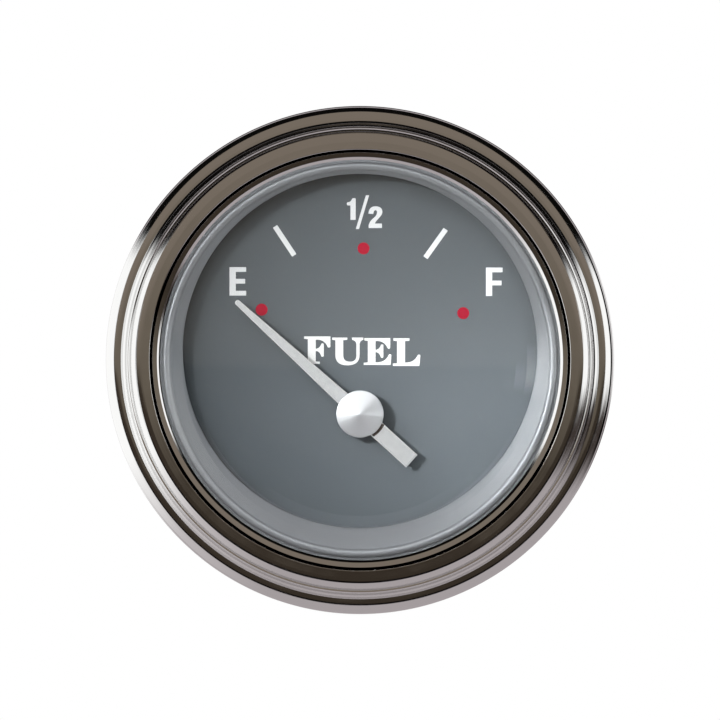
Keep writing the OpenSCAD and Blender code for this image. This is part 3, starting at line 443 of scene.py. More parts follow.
outer_face = [(rim_r, 0.0), *arc((bezel_r - rim_edge, rim_edge), rim_edge, -90, 0),
              *crowned(bezel_r, land_crown_r, land_flat_r, land_z, 16), *riser, *bead,
              *crowned(front_wall_r, front_wall_r - front_corner, front_flat_r, front_z, 6),
              *arc((groove_r + groove_edge, front_z - groove_edge), groove_edge, 90, 180, 4),
              (groove_r - groove_w / 2, front_z - groove_h), (ledge_r, front_z - ledge_drop),
              *arc((lip_r + lip_in, front_z - lip_drop - lip_round), lip_round, 93, 128, 14)]
inner_face = [(lip_r, lens_front), (lip_r + bezel_wall, lens_front),
              (lip_r + bezel_wall, front_z - bezel_wall - groove_h), (groove_r, front_z - bezel_wall),
              (front_r - bezel_wall, front_z - bezel_wall), (riser_r - bezel_wall, land_z - bezel_wall),
              (bezel_r - bezel_wall, land_z - bezel_wall), (bezel_r - bezel_wall, bezel_wall),
              (rim_r, bezel_wall)]
bezel = turned("bezel_ring", outer_face + inner_face, steps=320, sharp=30)
fit(bezel, "housing", "chrome", chrome, "bezel")
spare(bezel, spared)
spare(bezel, spared_by_fills)
spare(bezel, spared_by_sheen)

# Lens. Pressed clear glass, domed 1.3 mm, with a flat rim under the lip. It is
# so clear that only its edge shows from in front.
lens_low, lens_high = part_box("lens_glass")
lens_r = lens_high.x / mm
lens_back = -lens_high.y / mm
lens_rise = -lens_low.y / mm - lens_front
ball_r = (lip_r ** 2 + lens_rise ** 2) / (2 * lens_rise)


def dome(rim_z, steps=18):
    """Points of the lens's dome, from its rim to its middle."""
    radii = [lip_r * (1 - i / steps) for i in range(steps + 1)]
    return [(r, rim_z + lens_rise - ball_r + sqrt(ball_r ** 2 - r ** 2)) for r in radii]


lens = turned("lens", [(lens_r, lens_back), (lens_r, lens_front), *dome(lens_front),
                       *reversed(dome(lens_back))], steps=160)
# Soda-lime glass, clear and flawless. Rendered glass stops the light of a lamp,
# so shadow and diffuse rays pass it as air.
glass, tree, surface = new_material("clear soda-lime glass", {
    "Base Color": tint("#FBFDFC"), "Roughness": 0.0, "IOR": 1.5, "Transmission Weight": 1.0})
path = add(tree, "ShaderNodeLightPath").outputs
passes = add(tree, "ShaderNodeMath", {0: path["Is Shadow Ray"], 1: path["Is Diffuse Ray"]},
             operation="MAXIMUM")
clear = add(tree, "ShaderNodeBsdfTransparent")
blend = add(tree, "ShaderNodeMixShader", {0: passes.outputs[0], 1: surface.outputs[0], 2: clear.outputs[0]})
tree.links.new(blend.outputs[0], next(n for n in tree.nodes if n.type == "OUTPUT_MATERIAL").inputs["Surface"])
fit(lens, "housing", "lens_clear", glass, "lens_glass")

# Gasket. A moulded rubber ring, L-shaped in section, under the lens and round
# its edge. The solid's shape is right, so only its finish is set: dull black,
# with the fine grain of the mould.
rubber, tree, surface = new_material("moulded black rubber", {
    "Base Color": tint("#1B1B1C"), "Roughness": 0.72})
where = add(tree, "ShaderNodeTexCoord").outputs["Object"]
grain = add(tree, "ShaderNodeTexNoise", {"Vector": where, "Scale": 1 / (0.111 * mm), "Detail": 2.0})
relief = add(tree, "ShaderNodeBump", {"Height": grain.outputs[0], "Strength": 0.25, "Distance": 0.02 * mm})
tree.links.new(relief.outputs[0], surface.inputs["Normal"])


def dress(material, *nodes):
    """Sets the finish of solids whose shape is right."""
    for name in nodes:
        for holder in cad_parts[name].material_slots:
            holder.material = material


dress(rubber, "lens_gasket")

# Trim ring. A pressed aluminium ring with a rounded ridge and a sloped face,
# anodised satin. Its opening sits about 1 mm high, as on the photographed one.
ring_low, ring_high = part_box("trim_ring")
flange_r = ring_high.x / mm
ridge_round = 0.5
ring_top = -ring_low.y / mm - ridge_round
ring_wall = 0.6
ridge_r = lip_r - 0.8
slope_r = ridge_r - ridge_round
slope_ir = 19.63
slope_h = 2.4
heel_round, heel_up = 0.12, 0.10
opening_r = 20.98
opening_up = 1.05
opening_edge = 0.08
edge_low = 0.4
fall_rate = slope_h / (slope_r - slope_ir)


def ring_section(a):
    """The ring's closed section at one angle, where the raised opening cuts its slope."""
    cut_r = opening_up * sin(a) + sqrt(opening_r ** 2 - (opening_up * cos(a)) ** 2)
    cut_z = ring_top - (slope_r - cut_r) * fall_rate
    under = ring_wall / cos(atan(fall_rate))
    eased = [(cut_r + opening_edge, cut_z + opening_edge * fall_rate),
             (cut_r + opening_edge * 0.3, cut_z + opening_edge * 0.1), (cut_r, cut_z - opening_edge)]
    return [(flange_r, ring_top - ring_wall), (flange_r, ring_top),
            *arc((ridge_r, ring_top), ridge_round, 0, 150, 16),
            *arc((slope_r - heel_round, ring_top + heel_up), heel_round, -28, -50, 2), *eased,
            (cut_r, max(cut_z - under, ring_top - slope_h - edge_low)),
            (slope_r + ring_wall, ring_top - ring_wall)]


ring_steps = 256
ring_angles = [2 * pi * i / ring_steps for i in range(ring_steps)]
trim_ring = skin("trim_ring_satin", [[place(r * cos(a), r * sin(a), z) for r, z in ring_section(a)]
                                     for a in ring_angles], 40)

# Satin anodised aluminium: a soft even sheen, finely lined by the polishing mop.
anodised, tree, surface = new_material("satin anodised aluminium", {
    "Metallic": 0.35, "Base Color": tint("#888B90"), "Roughness": 0.42})
mop = ring_lines(tree, 0.12)
relief = add(tree, "ShaderNodeBump", {"Height": mop.outputs[0], "Strength": 0.12, "Distance": 0.01 * mm})
tree.links.new(relief.outputs[0], surface.inputs["Normal"])
fit(trim_ring, "housing", "ring_satin", anodised, "trim_ring")
spare(trim_ring, spared_by_sheen)

# Dial. A stamped aluminium disc in satin blue-grey metallic paint, with a hole
# for the pointer's bush. It lies on the two feet behind it.
dial_low, dial_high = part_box("dial_plate")
dial_r = dial_high.x / mm
dial_z = -dial_low.y / mm
dial_back = -dial_high.y / mm
pivot_up = -6.4
hole_r = 1.6


def pierced_disc(name, r, hole, hole_up, low, high, steps=192):
    """A flat disc with an eased front edge and one round hole off its middle."""
    ease = 0.06
    sections = []
    for i in range(steps):
        a = 2 * pi * i / steps
        corners = ((r - ease, 0, high), (r, 0, high - ease), (r, 0, low),
                   (hole, hole_up, low), (hole, hole_up, high))
        sections.append([place(radius * cos(a), up + radius * sin(a), z) for radius, up, z in corners])
    return skin(name, sections)


dial = pierced_disc("dial", dial_r, hole_r, pivot_up, dial_back, dial_z)
# Metallic paint: fine flakes give a soft sparkle, here 0.12 mm so that they show.
flake_mm = 0.12
dial_paint, tree, surface = new_material("satin grey metallic paint", {"Metallic": 0.6})
where = add(tree, "ShaderNodeTexCoord").outputs["Object"]
flakes = add(tree, "ShaderNodeTexNoise", {"Vector": where, "Scale": 1 / (flake_mm * mm), "Detail": 2.0})
paint = add(tree, "ShaderNodeValToRGB", {0: flakes.outputs[0]})
set_stops(paint, [(0.3, "#3F4448"), (0.7, "#474D52")])
tree.links.new(paint.outputs[0], surface.inputs["Base Color"])
sparkle = add(tree, "ShaderNodeMapRange", {"Value": flakes.outputs[0], "To Min": 0.42, "To Max": 0.54})
tree.links.new(sparkle.outputs[0], surface.inputs["Roughness"])
relief = add(tree, "ShaderNodeBump", {"Height": flakes.outputs[0], "Strength": 0.10, "Distance": 0.01 * mm})
tree.links.new(relief.outputs[0], surface.inputs["Normal"])
fit(dial, "housing", "dial_grey", dial_paint, "dial_plate")

# Marks of the scale. Screen-printed on the dial, a thin film of ink: a red dot at
# empty, half and full, and a white stroke at each quarter.
print_h = 0.03
print_turn = 1.0
print_right, print_up = 0.32, -0.05
dots_right, dots_up = -0.13, -0.02
ticks_right, ticks_up = -0.55, 1.04
dot_circle_r = 13.30
dot_r = 0.71
dot_step = 64.0
tick_circle_r = 15.76
tick_step = 34.6
tick_l = 4.12
tick_w = 0.60


def layered(name, layers, sharp=40):
    """A piece from closed outlines one above the other, with flat faces over the first and the last."""
    count = len(layers[0])
    last = (len(layers) - 1) * count
    faces = [tuple(range(count)), tuple(range(last, last + count))]
    for low in range(0, last, count):
        high = low + count
        faces += [(low + i, low + (i + 1) % count, high + (i + 1) % count, high + i) for i in range(count)]
    return shape(name, [point for layer in layers for point in layer], faces, sharp)


def printed(name, outline):
    """A thin film of ink with a closed outline, on the dial."""
    return layered(name, [[place(x, y, z) for x, y in outline] for z in (dial_z, dial_z + print_h)])


def new_tree(name, sizes):
    """A tree of geometry nodes with a named input for each size, and the sizes by their sockets."""
    group = bpy.data.node_groups.new(name, "GeometryNodeTree")
    group.interface.new_socket("Geometry", in_out="INPUT", socket_type="NodeSocketGeometry")
    by_socket = {}
    for label, value in sizes.items():
        kind = "NodeSocketInt" if isinstance(value, int) else "NodeSocketFloat"
        by_socket[group.interface.new_socket(label, in_out="INPUT", socket_type=kind).identifier] = value
    group.interface.new_socket("Geometry", in_out="OUTPUT", socket_type="NodeSocketGeometry")
    return group, by_socket


def repeat_round(name, stamp, angles, radius, material):
    """Copies of one stamp round the print's middle, by geometry nodes, as one plain mesh."""
    group, sizes = new_tree(name, {"Count": len(angles), "First": angles[0], "Step": angles[1] - angles[0],
                                   "Radius": radius * mm})
    given = add(group, "NodeGroupInput").outputs
    spots = add(group, "GeometryNodePoints", {"Count": given["Count"]})
    number = add(group, "GeometryNodeInputIndex")
    share = add(group, "ShaderNodeMath", {0: number.outputs[0], 1: given["Step"]}, operation="MULTIPLY")
    angle = add(group, "ShaderNodeMath", {0: share.outputs[0], 1: given["First"]}, operation="ADD")
    right = add(group, "ShaderNodeMath", {0: angle.outputs[0]}, operation="SINE")
    up = add(group, "ShaderNodeMath", {0: angle.outputs[0]}, operation="COSINE")
    spoke = add(group, "ShaderNodeCombineXYZ", {"X": right.outputs[0], "Z": up.outputs[0]})
    spot = add(group, "ShaderNodeVectorMath", {0: spoke.outputs[0], "Scale": given["Radius"]},
               operation="SCALE")
    placed = add(group, "GeometryNodeSetPosition", {"Geometry": spots.outputs[0],
                                                    "Position": spot.outputs[0]})
    spin = add(group, "ShaderNodeCombineXYZ", {"Y": angle.outputs[0]})
    copies = add(group, "GeometryNodeInstanceOnPoints", {
        "Points": placed.outputs[0], "Instance": given["Geometry"], "Rotation": spin.outputs[0]})
    plain = add(group, "GeometryNodeRealizeInstances", {0: copies.outputs[0]})
    inked = add(group, "GeometryNodeSetMaterial", {"Geometry": plain.outputs[0], "Material": material})
    add(group, "NodeGroupOutput", {"Geometry": inked.outputs[0]})
    return baked(name, stamp, group, sizes)


def baked(name, start, group, sizes):
    """The plain mesh that a tree of geometry nodes makes from a starting object."""
    modifier = start.modifiers.new(name, "NODES")
    modifier.node_group = group
    for socket, value in sizes.items():
        modifier[socket] = value
    result = start.evaluated_get(bpy.context.evaluated_depsgraph_get())
    mesh = bpy.data.meshes.new_from_object(result)
    bpy.data.objects.remove(start)
    made = bpy.data.objects.new(name, mesh)
    scene.collection.objects.link(made)
    return made


def move_print(piece, x, y):
    """Shifts a print in its mesh and turns it with the whole scale. Its object stays at the origin."""
    shift = Matrix.Translation(place(x, y, 0))
    turn = Matrix.Rotation(radians(print_turn), 4, "Y")
    settle = Matrix.Translation(place(print_right, print_up, 0))
    piece.data.transform(settle @ turn @ shift)


# Ink: an opaque matt film, slightly uneven at the edge of each hole of the screen.
def ink(name, code):
    """A screen ink of one colour with the faint tooth of the screen."""
    made, tree, surface = new_material(name, {"Base Color": tint(code), "Roughness": 0.6,
                                              "Specular IOR Level": 0.2})
    where = add(tree, "ShaderNodeTexCoord").outputs["Object"]
    tooth = add(tree, "ShaderNodeTexNoise", {"Vector": where, "Scale": 1 / (0.1 * mm)})
    relief = add(tree, "ShaderNodeBump", {"Height": tooth.outputs[0], "Strength": 0.1,
                                          "Distance": 0.005 * mm})
    tree.links.new(relief.outputs[0], surface.inputs["Normal"])
    return made


white_ink = ink("white screen ink", "#D8D8D8")
pale_ink = ink("pale grey screen ink", "#D0D1D3")
red_ink = ink("red screen ink", "#C20233")
dots = repeat_round("scale_dots", printed("dot_stamp", arc((0, 0), dot_r, 0, 345, 23)),
                    [radians(a) for a in (-dot_step, 0, dot_step)], dot_circle_r, red_ink)
move_print(dots, dots_right, dots_up)
fit(dots, "housing", "dial_grey", red_ink)
spare(dots, spared_by_sheen)
half_l, half_w = tick_l / 2, tick_w / 2
tick_outline = [(-half_w, -half_l), (half_w, -half_l), (half_w, half_l), (-half_w, half_l)]
ticks = repeat_round("scale_ticks", printed("tick_stamp", tick_outline),
                     [radians(-tick_step), radians(tick_step)], tick_circle_r, pale_ink)
move_print(ticks, ticks_right, ticks_up)
fit(ticks, "housing", "dial_grey", pale_ink)

# Lettering of the scale, screen-printed like the marks. Bold narrow capitals in
# pale ink stand at the ends and a fraction at the middle, with FUEL in broad
# serif capitals of white ink below. Each outline is in millimetres.


def bow(start, through, end, steps=7):
    """Points of a smooth bend from a start to an end, pulled towards a third point."""
    row = []
    for i in range(1, steps + 1):
        t = i / steps
        row.append(tuple((1 - t) ** 2 * a + 2 * t * (1 - t) * b + t * t * c
                         for a, b, c in zip(start, through, end)))
    return row


def letter(name, left, base, outline, letter_ink=pale_ink):
    """A printed letter with its left side and its base so far right of and above the dial's middle."""
    made = printed(name, [(left + x, base + y) for x, y in outline])
    fit(made, "housing", "dial_grey", letter_ink)


narrow_w, narrow_h, narrow_stem, narrow_arm = 1.97, 3.37, 0.74, 0.56
middle_low, middle_high = 1.42, 1.98
middle_w = narrow_w - 0.12
narrow_e = [(0, 0), (narrow_w, 0), (narrow_w, narrow_arm), (narrow_stem, narrow_arm),
            (narrow_stem, middle_low), (middle_w, middle_low), (middle_w, middle_high),
            (narrow_stem, middle_high), (narrow_stem, narrow_h - narrow_arm),
            (narrow_w, narrow_h - narrow_arm), (narrow_w, narrow_h), (0, narrow_h)]
narrow_f = [(0, 0), (narrow_stem, 0), *narrow_e[4:]]
letter("legend_empty", -15.47, 7.64, narrow_e)
middle_drop = 0.16
letter("legend_full", 14.934, 7.592, [
    (x, y - middle_drop if 0 < y <= middle_high else y) for x, y in narrow_f])
letter("legend_half_one", -1.571, 16.624, [
    (0.44, 0), (1.05, 0), (1.06, 2.50), (0.98, 2.56), (0.70, 2.56), (0.60, 2.42), (0.44, 2.18), (0.30, 2.10),
    (0.08, 2.08), (0.0, 1.95), (0.02, 1.78), (0.10, 1.71), (0.36, 1.71), (0.44, 1.64)])
letter("legend_half_bar", -0.5, 15.529, [(0, 0), (0.38, 0), (1.58, 4.00), (1.20, 4.00)])
letter("legend_half_two", 1.0, 15.648, [
    (0.04, 0), (1.60, 0), (1.60, 0.53), (0.76, 0.53), *bow((0.76, 0.53), (0.85, 0.80), (1.36, 1.31)),
    *bow((1.36, 1.31), (1.65, 1.60), (1.65, 1.96)), *bow((1.65, 1.96), (1.62, 2.56), (0.85, 2.58)),
    *bow((0.85, 2.58), (0.07, 2.58), (0, 1.71)), (0.58, 1.66), *bow((0.58, 1.66), (0.62, 2.11), (0.82, 2.12)),
    *bow((0.82, 2.12), (1.03, 2.11), (1.02, 1.85)), *bow((1.02, 1.85), (1.0, 1.53), (0.67, 1.24)),
    *bow((0.67, 1.24), (0.05, 0.76), (0.02, 0.22))])

serif_stem = [(1.38, 0.27), (1.38, 1.53)]
tick_beak = [*bow((1.38, 1.53), (1.85, 1.50), (2.03, 0.92)), (2.09, 0.84), (2.26, 0.84), (2.33, 0.92),
             (2.33, 2.34), (2.26, 2.42), (2.10, 2.42), (2.03, 2.34),
             *bow((2.03, 2.34), (1.85, 1.82), (1.38, 1.78))]
top_beak = [(1.38, 2.86), *bow((1.38, 2.86), (2.40, 2.94), (2.77, 2.04)), (2.86, 1.94), (3.04, 1.94),
            (3.12, 2.04)]
letter("word_f", -6.628, -0.452, [
    (0.08, 0), (1.86, 0), (1.86, 0.25), *serif_stem, *tick_beak, *top_beak, (3.12, 3.25), (0, 3.25),
    (0, 2.97), (0.44, 2.93), (0.44, 0.27), (0.08, 0.25)], white_ink)
letter("word_u", -3.296, -0.631, [
    (0.38, 1.20), *bow((0.38, 1.20), (0.40, 0.0), (1.80, 0.0)), *bow((1.80, 0.0), (3.24, 0.0), (3.24, 1.25)),
    (3.24, 2.5), *bow((3.24, 2.5), (3.26, 2.92), (3.68, 3.02)), (3.68, 3.29), (2.35, 3.29), (2.35, 3.02),
    *bow((2.35, 3.02), (2.85, 2.92), (2.87, 2.5)), (2.87, 1.15),
    *bow((2.87, 1.15), (2.87, 0.43), (2.10, 0.43)), *bow((2.10, 0.43), (1.31, 0.43), (1.31, 1.20)),
    (1.31, 2.98), (1.79, 3.03), (1.79, 3.29), (0, 3.29), (0, 3.03), (0.38, 2.98)], white_ink)
letter("word_e", 0.44, -0.583, [
    (0, 0), (3.20, 0), (3.28, 1.18), (3.20, 1.27), (3.03, 1.27), (2.95, 1.18),
    *bow((2.95, 1.18), (2.60, 0.28), (1.40, 0.30)), (1.40, 1.53), *tick_beak[:-1], (1.40, 1.78), (1.40, 2.84),
    *bow((1.40, 2.84), (2.45, 2.90), (2.81, 2.02)), (2.90, 1.92), (3.06, 1.92), (3.14, 2.02), (3.15, 3.18),
    (0.08, 3.18), (0.08, 2.90), (0.49, 2.86), (0.49, 0.30), (0, 0.26)], white_ink)
letter("word_l", 3.903, -0.702, [
    (0, 0), (3.13, 0), (3.26, 1.24), (3.18, 1.34), (3.00, 1.34), (2.92, 1.24),
    *bow((2.92, 1.24), (2.52, 0.36), (1.44, 0.40)), (1.44, 2.94), (1.96, 2.99), (1.96, 3.28), (0.06, 3.28),
    (0.06, 2.99), (0.49, 2.94), (0.49, 0.32), (0, 0.28)], white_ink)

# Pointer blade. Thin stamped aluminium, painted pale grey, with its edges eased
# by the stamping. It is pressed on the bush between the dial and the hub cap.
rest_turn = radians(47.7)
blade_low, blade_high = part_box("pointer_blade")
blade_top = -blade_low.y / mm
blade_back = -blade_high.y / mm
pointer_l, tail_l = 19.9, 8.3
blade_w, tip_w, tail_w = 1.65, 0.65, 2.0
disc_r = 2.5
ease = 0.14


def pointer_place(x, y, z):
    """A point of the pointer's own frame, turned to where it rests."""
    across = x * cos(rest_turn) - y * sin(rest_turn)
    up = x * sin(rest_turn) + y * cos(rest_turn)
    return place(across, pivot_up + up, z)


def blade_outline(inset):
    """The blade's outline, drawn in by an inset: a slim arm, a disc and a square tail."""
    arm, tip, tail = blade_w / 2 - inset, tip_w / 2 - inset, tail_w / 2 - inset
    r = disc_r - inset
    arm_a, tail_a = degrees(asin(arm / r)), degrees(asin(tail / r))
    return [*arc((0, 0), r, 90 - arm_a, tail_a - 90, 14), (tail, -tail_l + inset), (-tail, -tail_l + inset),
            *arc((0, 0), r, 270 - tail_a, 90 + arm_a, 14), *arc((0, pointer_l - tip_w / 2), tip, 180, 0, 8)]


edge_layers = [(ease, blade_back), (0, blade_back + ease), (0, blade_top - ease), (ease, blade_top)]
blade = layered("pointer", [[pointer_place(x, y, z) for x, y in blade_outline(inset)]
                            for inset, z in edge_layers], 30)
# The sides and eased edges are marked here, to take a painted highlight.
edge_highlight = blade.data.attributes.new("edge", "FLOAT", "FACE")
edge_highlight.data.foreach_set("value", [float(abs(face.normal.y) <= 0.9) for face in blade.data.polygons])
# Matt lacquer over aluminium, with the slight mottle of a thin sprayed coat.
# The edge faces are lighter: a painted highlight for the light that the eased edges catch.
pale_lacquer, tree, surface = new_material("pale grey lacquer", {"Roughness": 0.42})
where = add(tree, "ShaderNodeTexCoord").outputs["Object"]
mottle = add(tree, "ShaderNodeTexNoise", {"Vector": where, "Scale": 1 / (0.5 * mm), "Detail": 3.0})
coat = add(tree, "ShaderNodeValToRGB", {0: mottle.outputs[0]})
set_stops(coat, [(0.3, "#CDCED1"), (0.7, "#D8D9DB")])
edge = add(tree, "ShaderNodeAttribute", attribute_name="edge")
lacquer_and_edge_highlight = add(tree, "ShaderNodeMix", {0: edge.outputs["Fac"], 6: coat.outputs[0], 7: tint("#F4F4F5")},
             data_type="RGBA")
tree.links.new(lacquer_and_edge_highlight.outputs[2], surface.inputs["Base Color"])
relief = add(tree, "ShaderNodeBump", {"Height": mottle.outputs[0], "Strength": 0.08, "Distance": 0.01 * mm})
tree.links.new(relief.outputs[0], surface.inputs["Normal"])
fit(blade, "pointer", "pointer_white", pale_lacquer, "pointer_blade")
spare(blade, spared_by_sheen)

# Root of the tail. The dark brown crescent beside the cap, where the tail comes out
# from under it, is a painted shadow of the cap: a thin dark film on the blade.
root_inner, root_outer = 2.72, 3.08
inner_spread, outer_spread = 19.4, 18
outer_middle = (0.05, -0.06)
shadow_film_h = 0.02
crescent = [*arc((0, 0), root_inner, 270 - inner_spread, 270 + inner_spread),
            *arc(outer_middle, root_outer, 270 + outer_spread, 270 - outer_spread)]
root = layered("pointer_root_painted_shadow", [[pointer_place(x, y, z) for x, y in crescent]
                                for z in (blade_top, blade_top + shadow_film_h)])
# The painted shadow is dark brown, in uneven blots.
painted_cap_shadow, tree, surface = new_material("painted cap shadow", {"Roughness": 0.6})
where = add(tree, "ShaderNodeTexCoord").outputs["Object"]
shadow_mottle = add(tree, "ShaderNodeTexNoise", {"Vector": where, "Scale": 1 / (0.3 * mm)})
shadow_tone = add(tree, "ShaderNodeValToRGB", {0: shadow_mottle.outputs[0]})
set_stops(shadow_tone, [(0.35, "#1C120B"), (0.7, "#3A2A1E")])
tree.links.new(shadow_tone.outputs[0], surface.inputs["Base Color"])
fit(root, "pointer", "pointer_white", painted_cap_shadow)

# Hub cap. A turned aluminium button with a shallow cone, left bare. The tool's
# fine rings spread the light into a fan round its middle.
cap_low, cap_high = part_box("pointer_hub_cap")
cap_top = -cap_low.y / mm
cap_r = (cap_high.x - cap_low.x) / 2 / mm
edge_h, edge_round, foot_ease = 0.45, 0.10, 0.05
blunt_tip = [(0, cap_top), (0.12, cap_top - 0.012), (0.3, cap_top - 0.06)]
hub = turned("pointer_hub", [
    *blunt_tip, (cap_r - edge_round - 0.02, blade_top + edge_h + 0.02),
    *arc((cap_r - edge_round, blade_top + edge_h - edge_round), edge_round, 80, 0, 5),
    (cap_r, blade_top + foot_ease), (cap_r - foot_ease, blade_top), (0, blade_top)],
    centre=(0, pivot_up), steps=128, sharp=50)
bare_aluminium, tree, surface = new_material("turned bare aluminium", {
    "Metallic": 1.0, "Base Color": tint("#BFC0C4"), "Roughness": 0.45, "Anisotropic": 0.6})
where = add(tree, "ShaderNodeTexCoord").outputs["Object"]
outward = add(tree, "ShaderNodeVectorMath", {0: where, 1: (0, 0, pivot_up * mm)}, operation="SUBTRACT")
across = add(tree, "ShaderNodeVectorMath", {0: outward.outputs[0], 1: (1, 0, 1)}, operation="MULTIPLY")
tree.links.new(across.outputs[0], surface.inputs["Tangent"])
tool_marks = ring_lines(tree, 0.06, pivot_up)
relief = add(tree, "ShaderNodeBump", {"Height": tool_marks.outputs[0], "Strength": 0.25,
                                      "Distance": 0.01 * mm})
tree.links.new(relief.outputs[0], surface.inputs["Normal"])
fit(hub, "pointer", "spun_aluminium", bare_aluminium, "pointer_hub_cap")
spare(hub, spared_by_fills)
spare(hub, spared_by_sheen)

# Plated steel behind the panel: the drawn case, the bracket and the fixings. Zinc
# plate is a cool grey with a faint spangle and soft marks of handling.
zinc, tree, surface = new_material("bright zinc plate", {"Metallic": 1.0})
where = add(tree, "ShaderNodeTexCoord").outputs["Object"]
spangle = add(tree, "ShaderNodeTexVoronoi", {"Vector": where, "Scale": 1 / (1.6 * mm)})
cloud = add(tree, "ShaderNodeTexNoise", {"Vector": where, "Scale": 1 / (6 * mm), "Detail": 4.0})
both = add(tree, "ShaderNodeMix", {0: 0.75, 2: spangle.outputs["Distance"], 3: cloud.outputs[0]})
plate = add(tree, "ShaderNodeValToRGB", {0: both.outputs[0]})
set_stops(plate, [(0.25, "#A9ACAF"), (0.75, "#C3C6C8")])
tree.links.new(plate.outputs[0], surface.inputs["Base Color"])
dull = add(tree, "ShaderNodeMapRange", {"Value": cloud.outputs[0], "From Min": 0.3, "From Max": 0.7,
                                        "To Min": 0.26, "To Max": 0.42})
tree.links.new(dull.outputs[0], surface.inputs["Roughness"])

stud_r = 2.08
thread_pitch = 0.8
thread_depth = 0.28


def threaded(name, slot, material, x, up, start, end):
    """A round-crested thread along a stud, from geometry nodes, between two depths behind the panel."""
    group, sizes = new_tree(name, {
        "Turns": (end - start) / thread_pitch, "Radius": (stud_r - thread_depth) * mm,
        "Crest": thread_depth * mm, "Length": (end - start) * mm})
    given = add(group, "NodeGroupInput").outputs
    helix = add(group, "GeometryNodeCurveSpiral", {
        "Resolution": 28, "Rotations": given["Turns"], "Start Radius": given["Radius"],
        "End Radius": given["Radius"], "Height": given["Length"]})
    crest = add(group, "GeometryNodeCurvePrimitiveCircle", {"Resolution": 6, "Radius": given["Crest"]})
    ridge = add(group, "GeometryNodeCurveToMesh", {
        "Curve": helix.outputs[0], "Profile Curve": crest.outputs[0], "Fill Caps": True})
    laid = add(group, "GeometryNodeTransform", {"Geometry": ridge.outputs[0], "Rotation": (-pi / 2, 0, 0),
                                                "Translation": place(x, up, -start)})
    plain = add(group, "GeometryNodeRealizeInstances", {0: laid.outputs[0]})
    plated = add(group, "GeometryNodeSetMaterial", {"Geometry": plain.outputs[0], "Material": material})
    add(group, "NodeGroupOutput", {"Geometry": plated.outputs[0]})
    stamp = bpy.data.objects.new("thread_start", bpy.data.meshes.new("thread_start"))
    scene.collection.objects.link(stamp)
    made = baked(name, stamp, group, sizes)
    made.data.shade_smooth()
    fit(made, "housing", slot, material)


def slimmed(form, x, up, start):
    """Takes a stud's shank down to the root of its thread, past a depth behind the panel."""
    for vertex in form.verts:
        right, rise = vertex.co.x - x * mm, vertex.co.z - up * mm
        on_shank = sqrt(right ** 2 + rise ** 2) < (stud_r + 0.1) * mm
        if on_shank and vertex.co.y > start * mm:
            vertex.co.x = x * mm + right * (1 - thread_depth / stud_r)
            vertex.co.z = up * mm + rise * (1 - thread_depth / stud_r)


def refined(name, node, body, slot, material, ease_mm=0.12, studs=()):
    """A smooth copy of a solid, its flat faces joined up and its edges eased, in the solid's place."""
    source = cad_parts[node]
    form = bmesh.new()
    form.from_mesh(source.data)
    form.transform(source.matrix_world)
    bmesh.ops.remove_doubles(form, verts=form.verts, dist=2e-6)
    bmesh.ops.dissolve_limit(form, angle_limit=radians(1.0), verts=form.verts, edges=form.edges)
    sharp = radians(30)
    hard = [e for e in form.edges if len(e.link_faces) == 2 and e.calc_face_angle(0) > sharp]
    bmesh.ops.bevel(form, geom=hard, offset=ease_mm * mm, segments=2, profile=0.5, affect="EDGES",
                    clamp_overlap=True)
    for stud in studs:
        slimmed(form, *stud)
    bmesh.ops.triangulate(form, faces=[f for f in form.faces if len(f.verts) > 4])
    mesh = bpy.data.meshes.new(name)
    form.to_mesh(mesh)
    form.free()
    mesh.shade_smooth()
    mesh.set_sharp_from_angle(angle=sharp)
    made = bpy.data.objects.new(name, mesh)
    scene.collection.objects.link(made)
    fit(made, body, slot, material, node)


refined("case_body", "case_can", "housing", "zinc_steel", zinc)
refined("bracket_strap", "mounting_bracket", "bracket", "zinc_steel", zinc, 0.2)
bracket_stud_x = 18.5
case_back, bracket_stud_end = 25.5, 44.19
thread_start, thread_end = 0.3, 0.5
refined("bracket_stud_pair", "bracket_studs", "housing", "zinc_steel", zinc, 0.12,
        studs=[(side * bracket_stud_x, 0, case_back) for side in (-1, 1)])
for label, side in (("left", -1), ("right", 1)):
    threaded(f"bracket_stud_{label}_thread", "zinc_steel", zinc, side * bracket_stud_x, 0,
             case_back + thread_start, bracket_stud_end - thread_end)
refined("lock_washers", "bracket_lock_washers", "bracket", "zinc_steel", zinc, 0.08)
dress(zinc, "spindle", "stop_pins", "shield_can", "movement_plate", "frame_screws")

# Brass fixings: the terminal studs and their nuts, the knurled thumb nuts and the
# small turned pieces of the movement. Turned brass is warm yellow and has dulled
# in soft clouds of tarnish.
brass, tree, surface = new_material("turned brass", {"Metallic": 1.0})
where = add(tree, "ShaderNodeTexCoord").outputs["Object"]
tarnish = add(tree, "ShaderNodeTexNoise", {"Vector": where, "Scale": 1 / (2.5 * mm), "Detail": 4.0})
metal = add(tree, "ShaderNodeValToRGB", {0: tarnish.outputs[0]})
set_stops(metal, [(0.3, "#A98A4A"), (0.7, "#CDAE6B")])
tree.links.new(metal.outputs[0], surface.inputs["Base Color"])
worn = add(tree, "ShaderNodeMapRange", {"Value": tarnish.outputs[0], "To Min": 0.2, "To Max": 0.4})
tree.links.new(worn.outputs[0], surface.inputs["Roughness"])
for side in ("left", "right"):
    refined(f"thumb_nut_{side}_knurled", f"thumb_nut_{side}", f"nut_{side}", "brass_plain", brass, 0.1)
terminal_circle_r = 20.8
collar_back, terminal_end = 29.5, 39.5
for post, a in (("ignition", -135), ("sender", -90), ("ground", -45)):
    x, up = terminal_circle_r * cos(radians(a)), terminal_circle_r * sin(radians(a))
    refined(f"terminal_{post}", f"terminal_stud_{post}", "housing", "brass_plain", brass, 0.12,
            studs=[(x, up, collar_back + 0.05)])
    threaded(f"terminal_{post}_thread", "brass_plain", brass, x, up, collar_back + thread_start,
             terminal_end - thread_end)
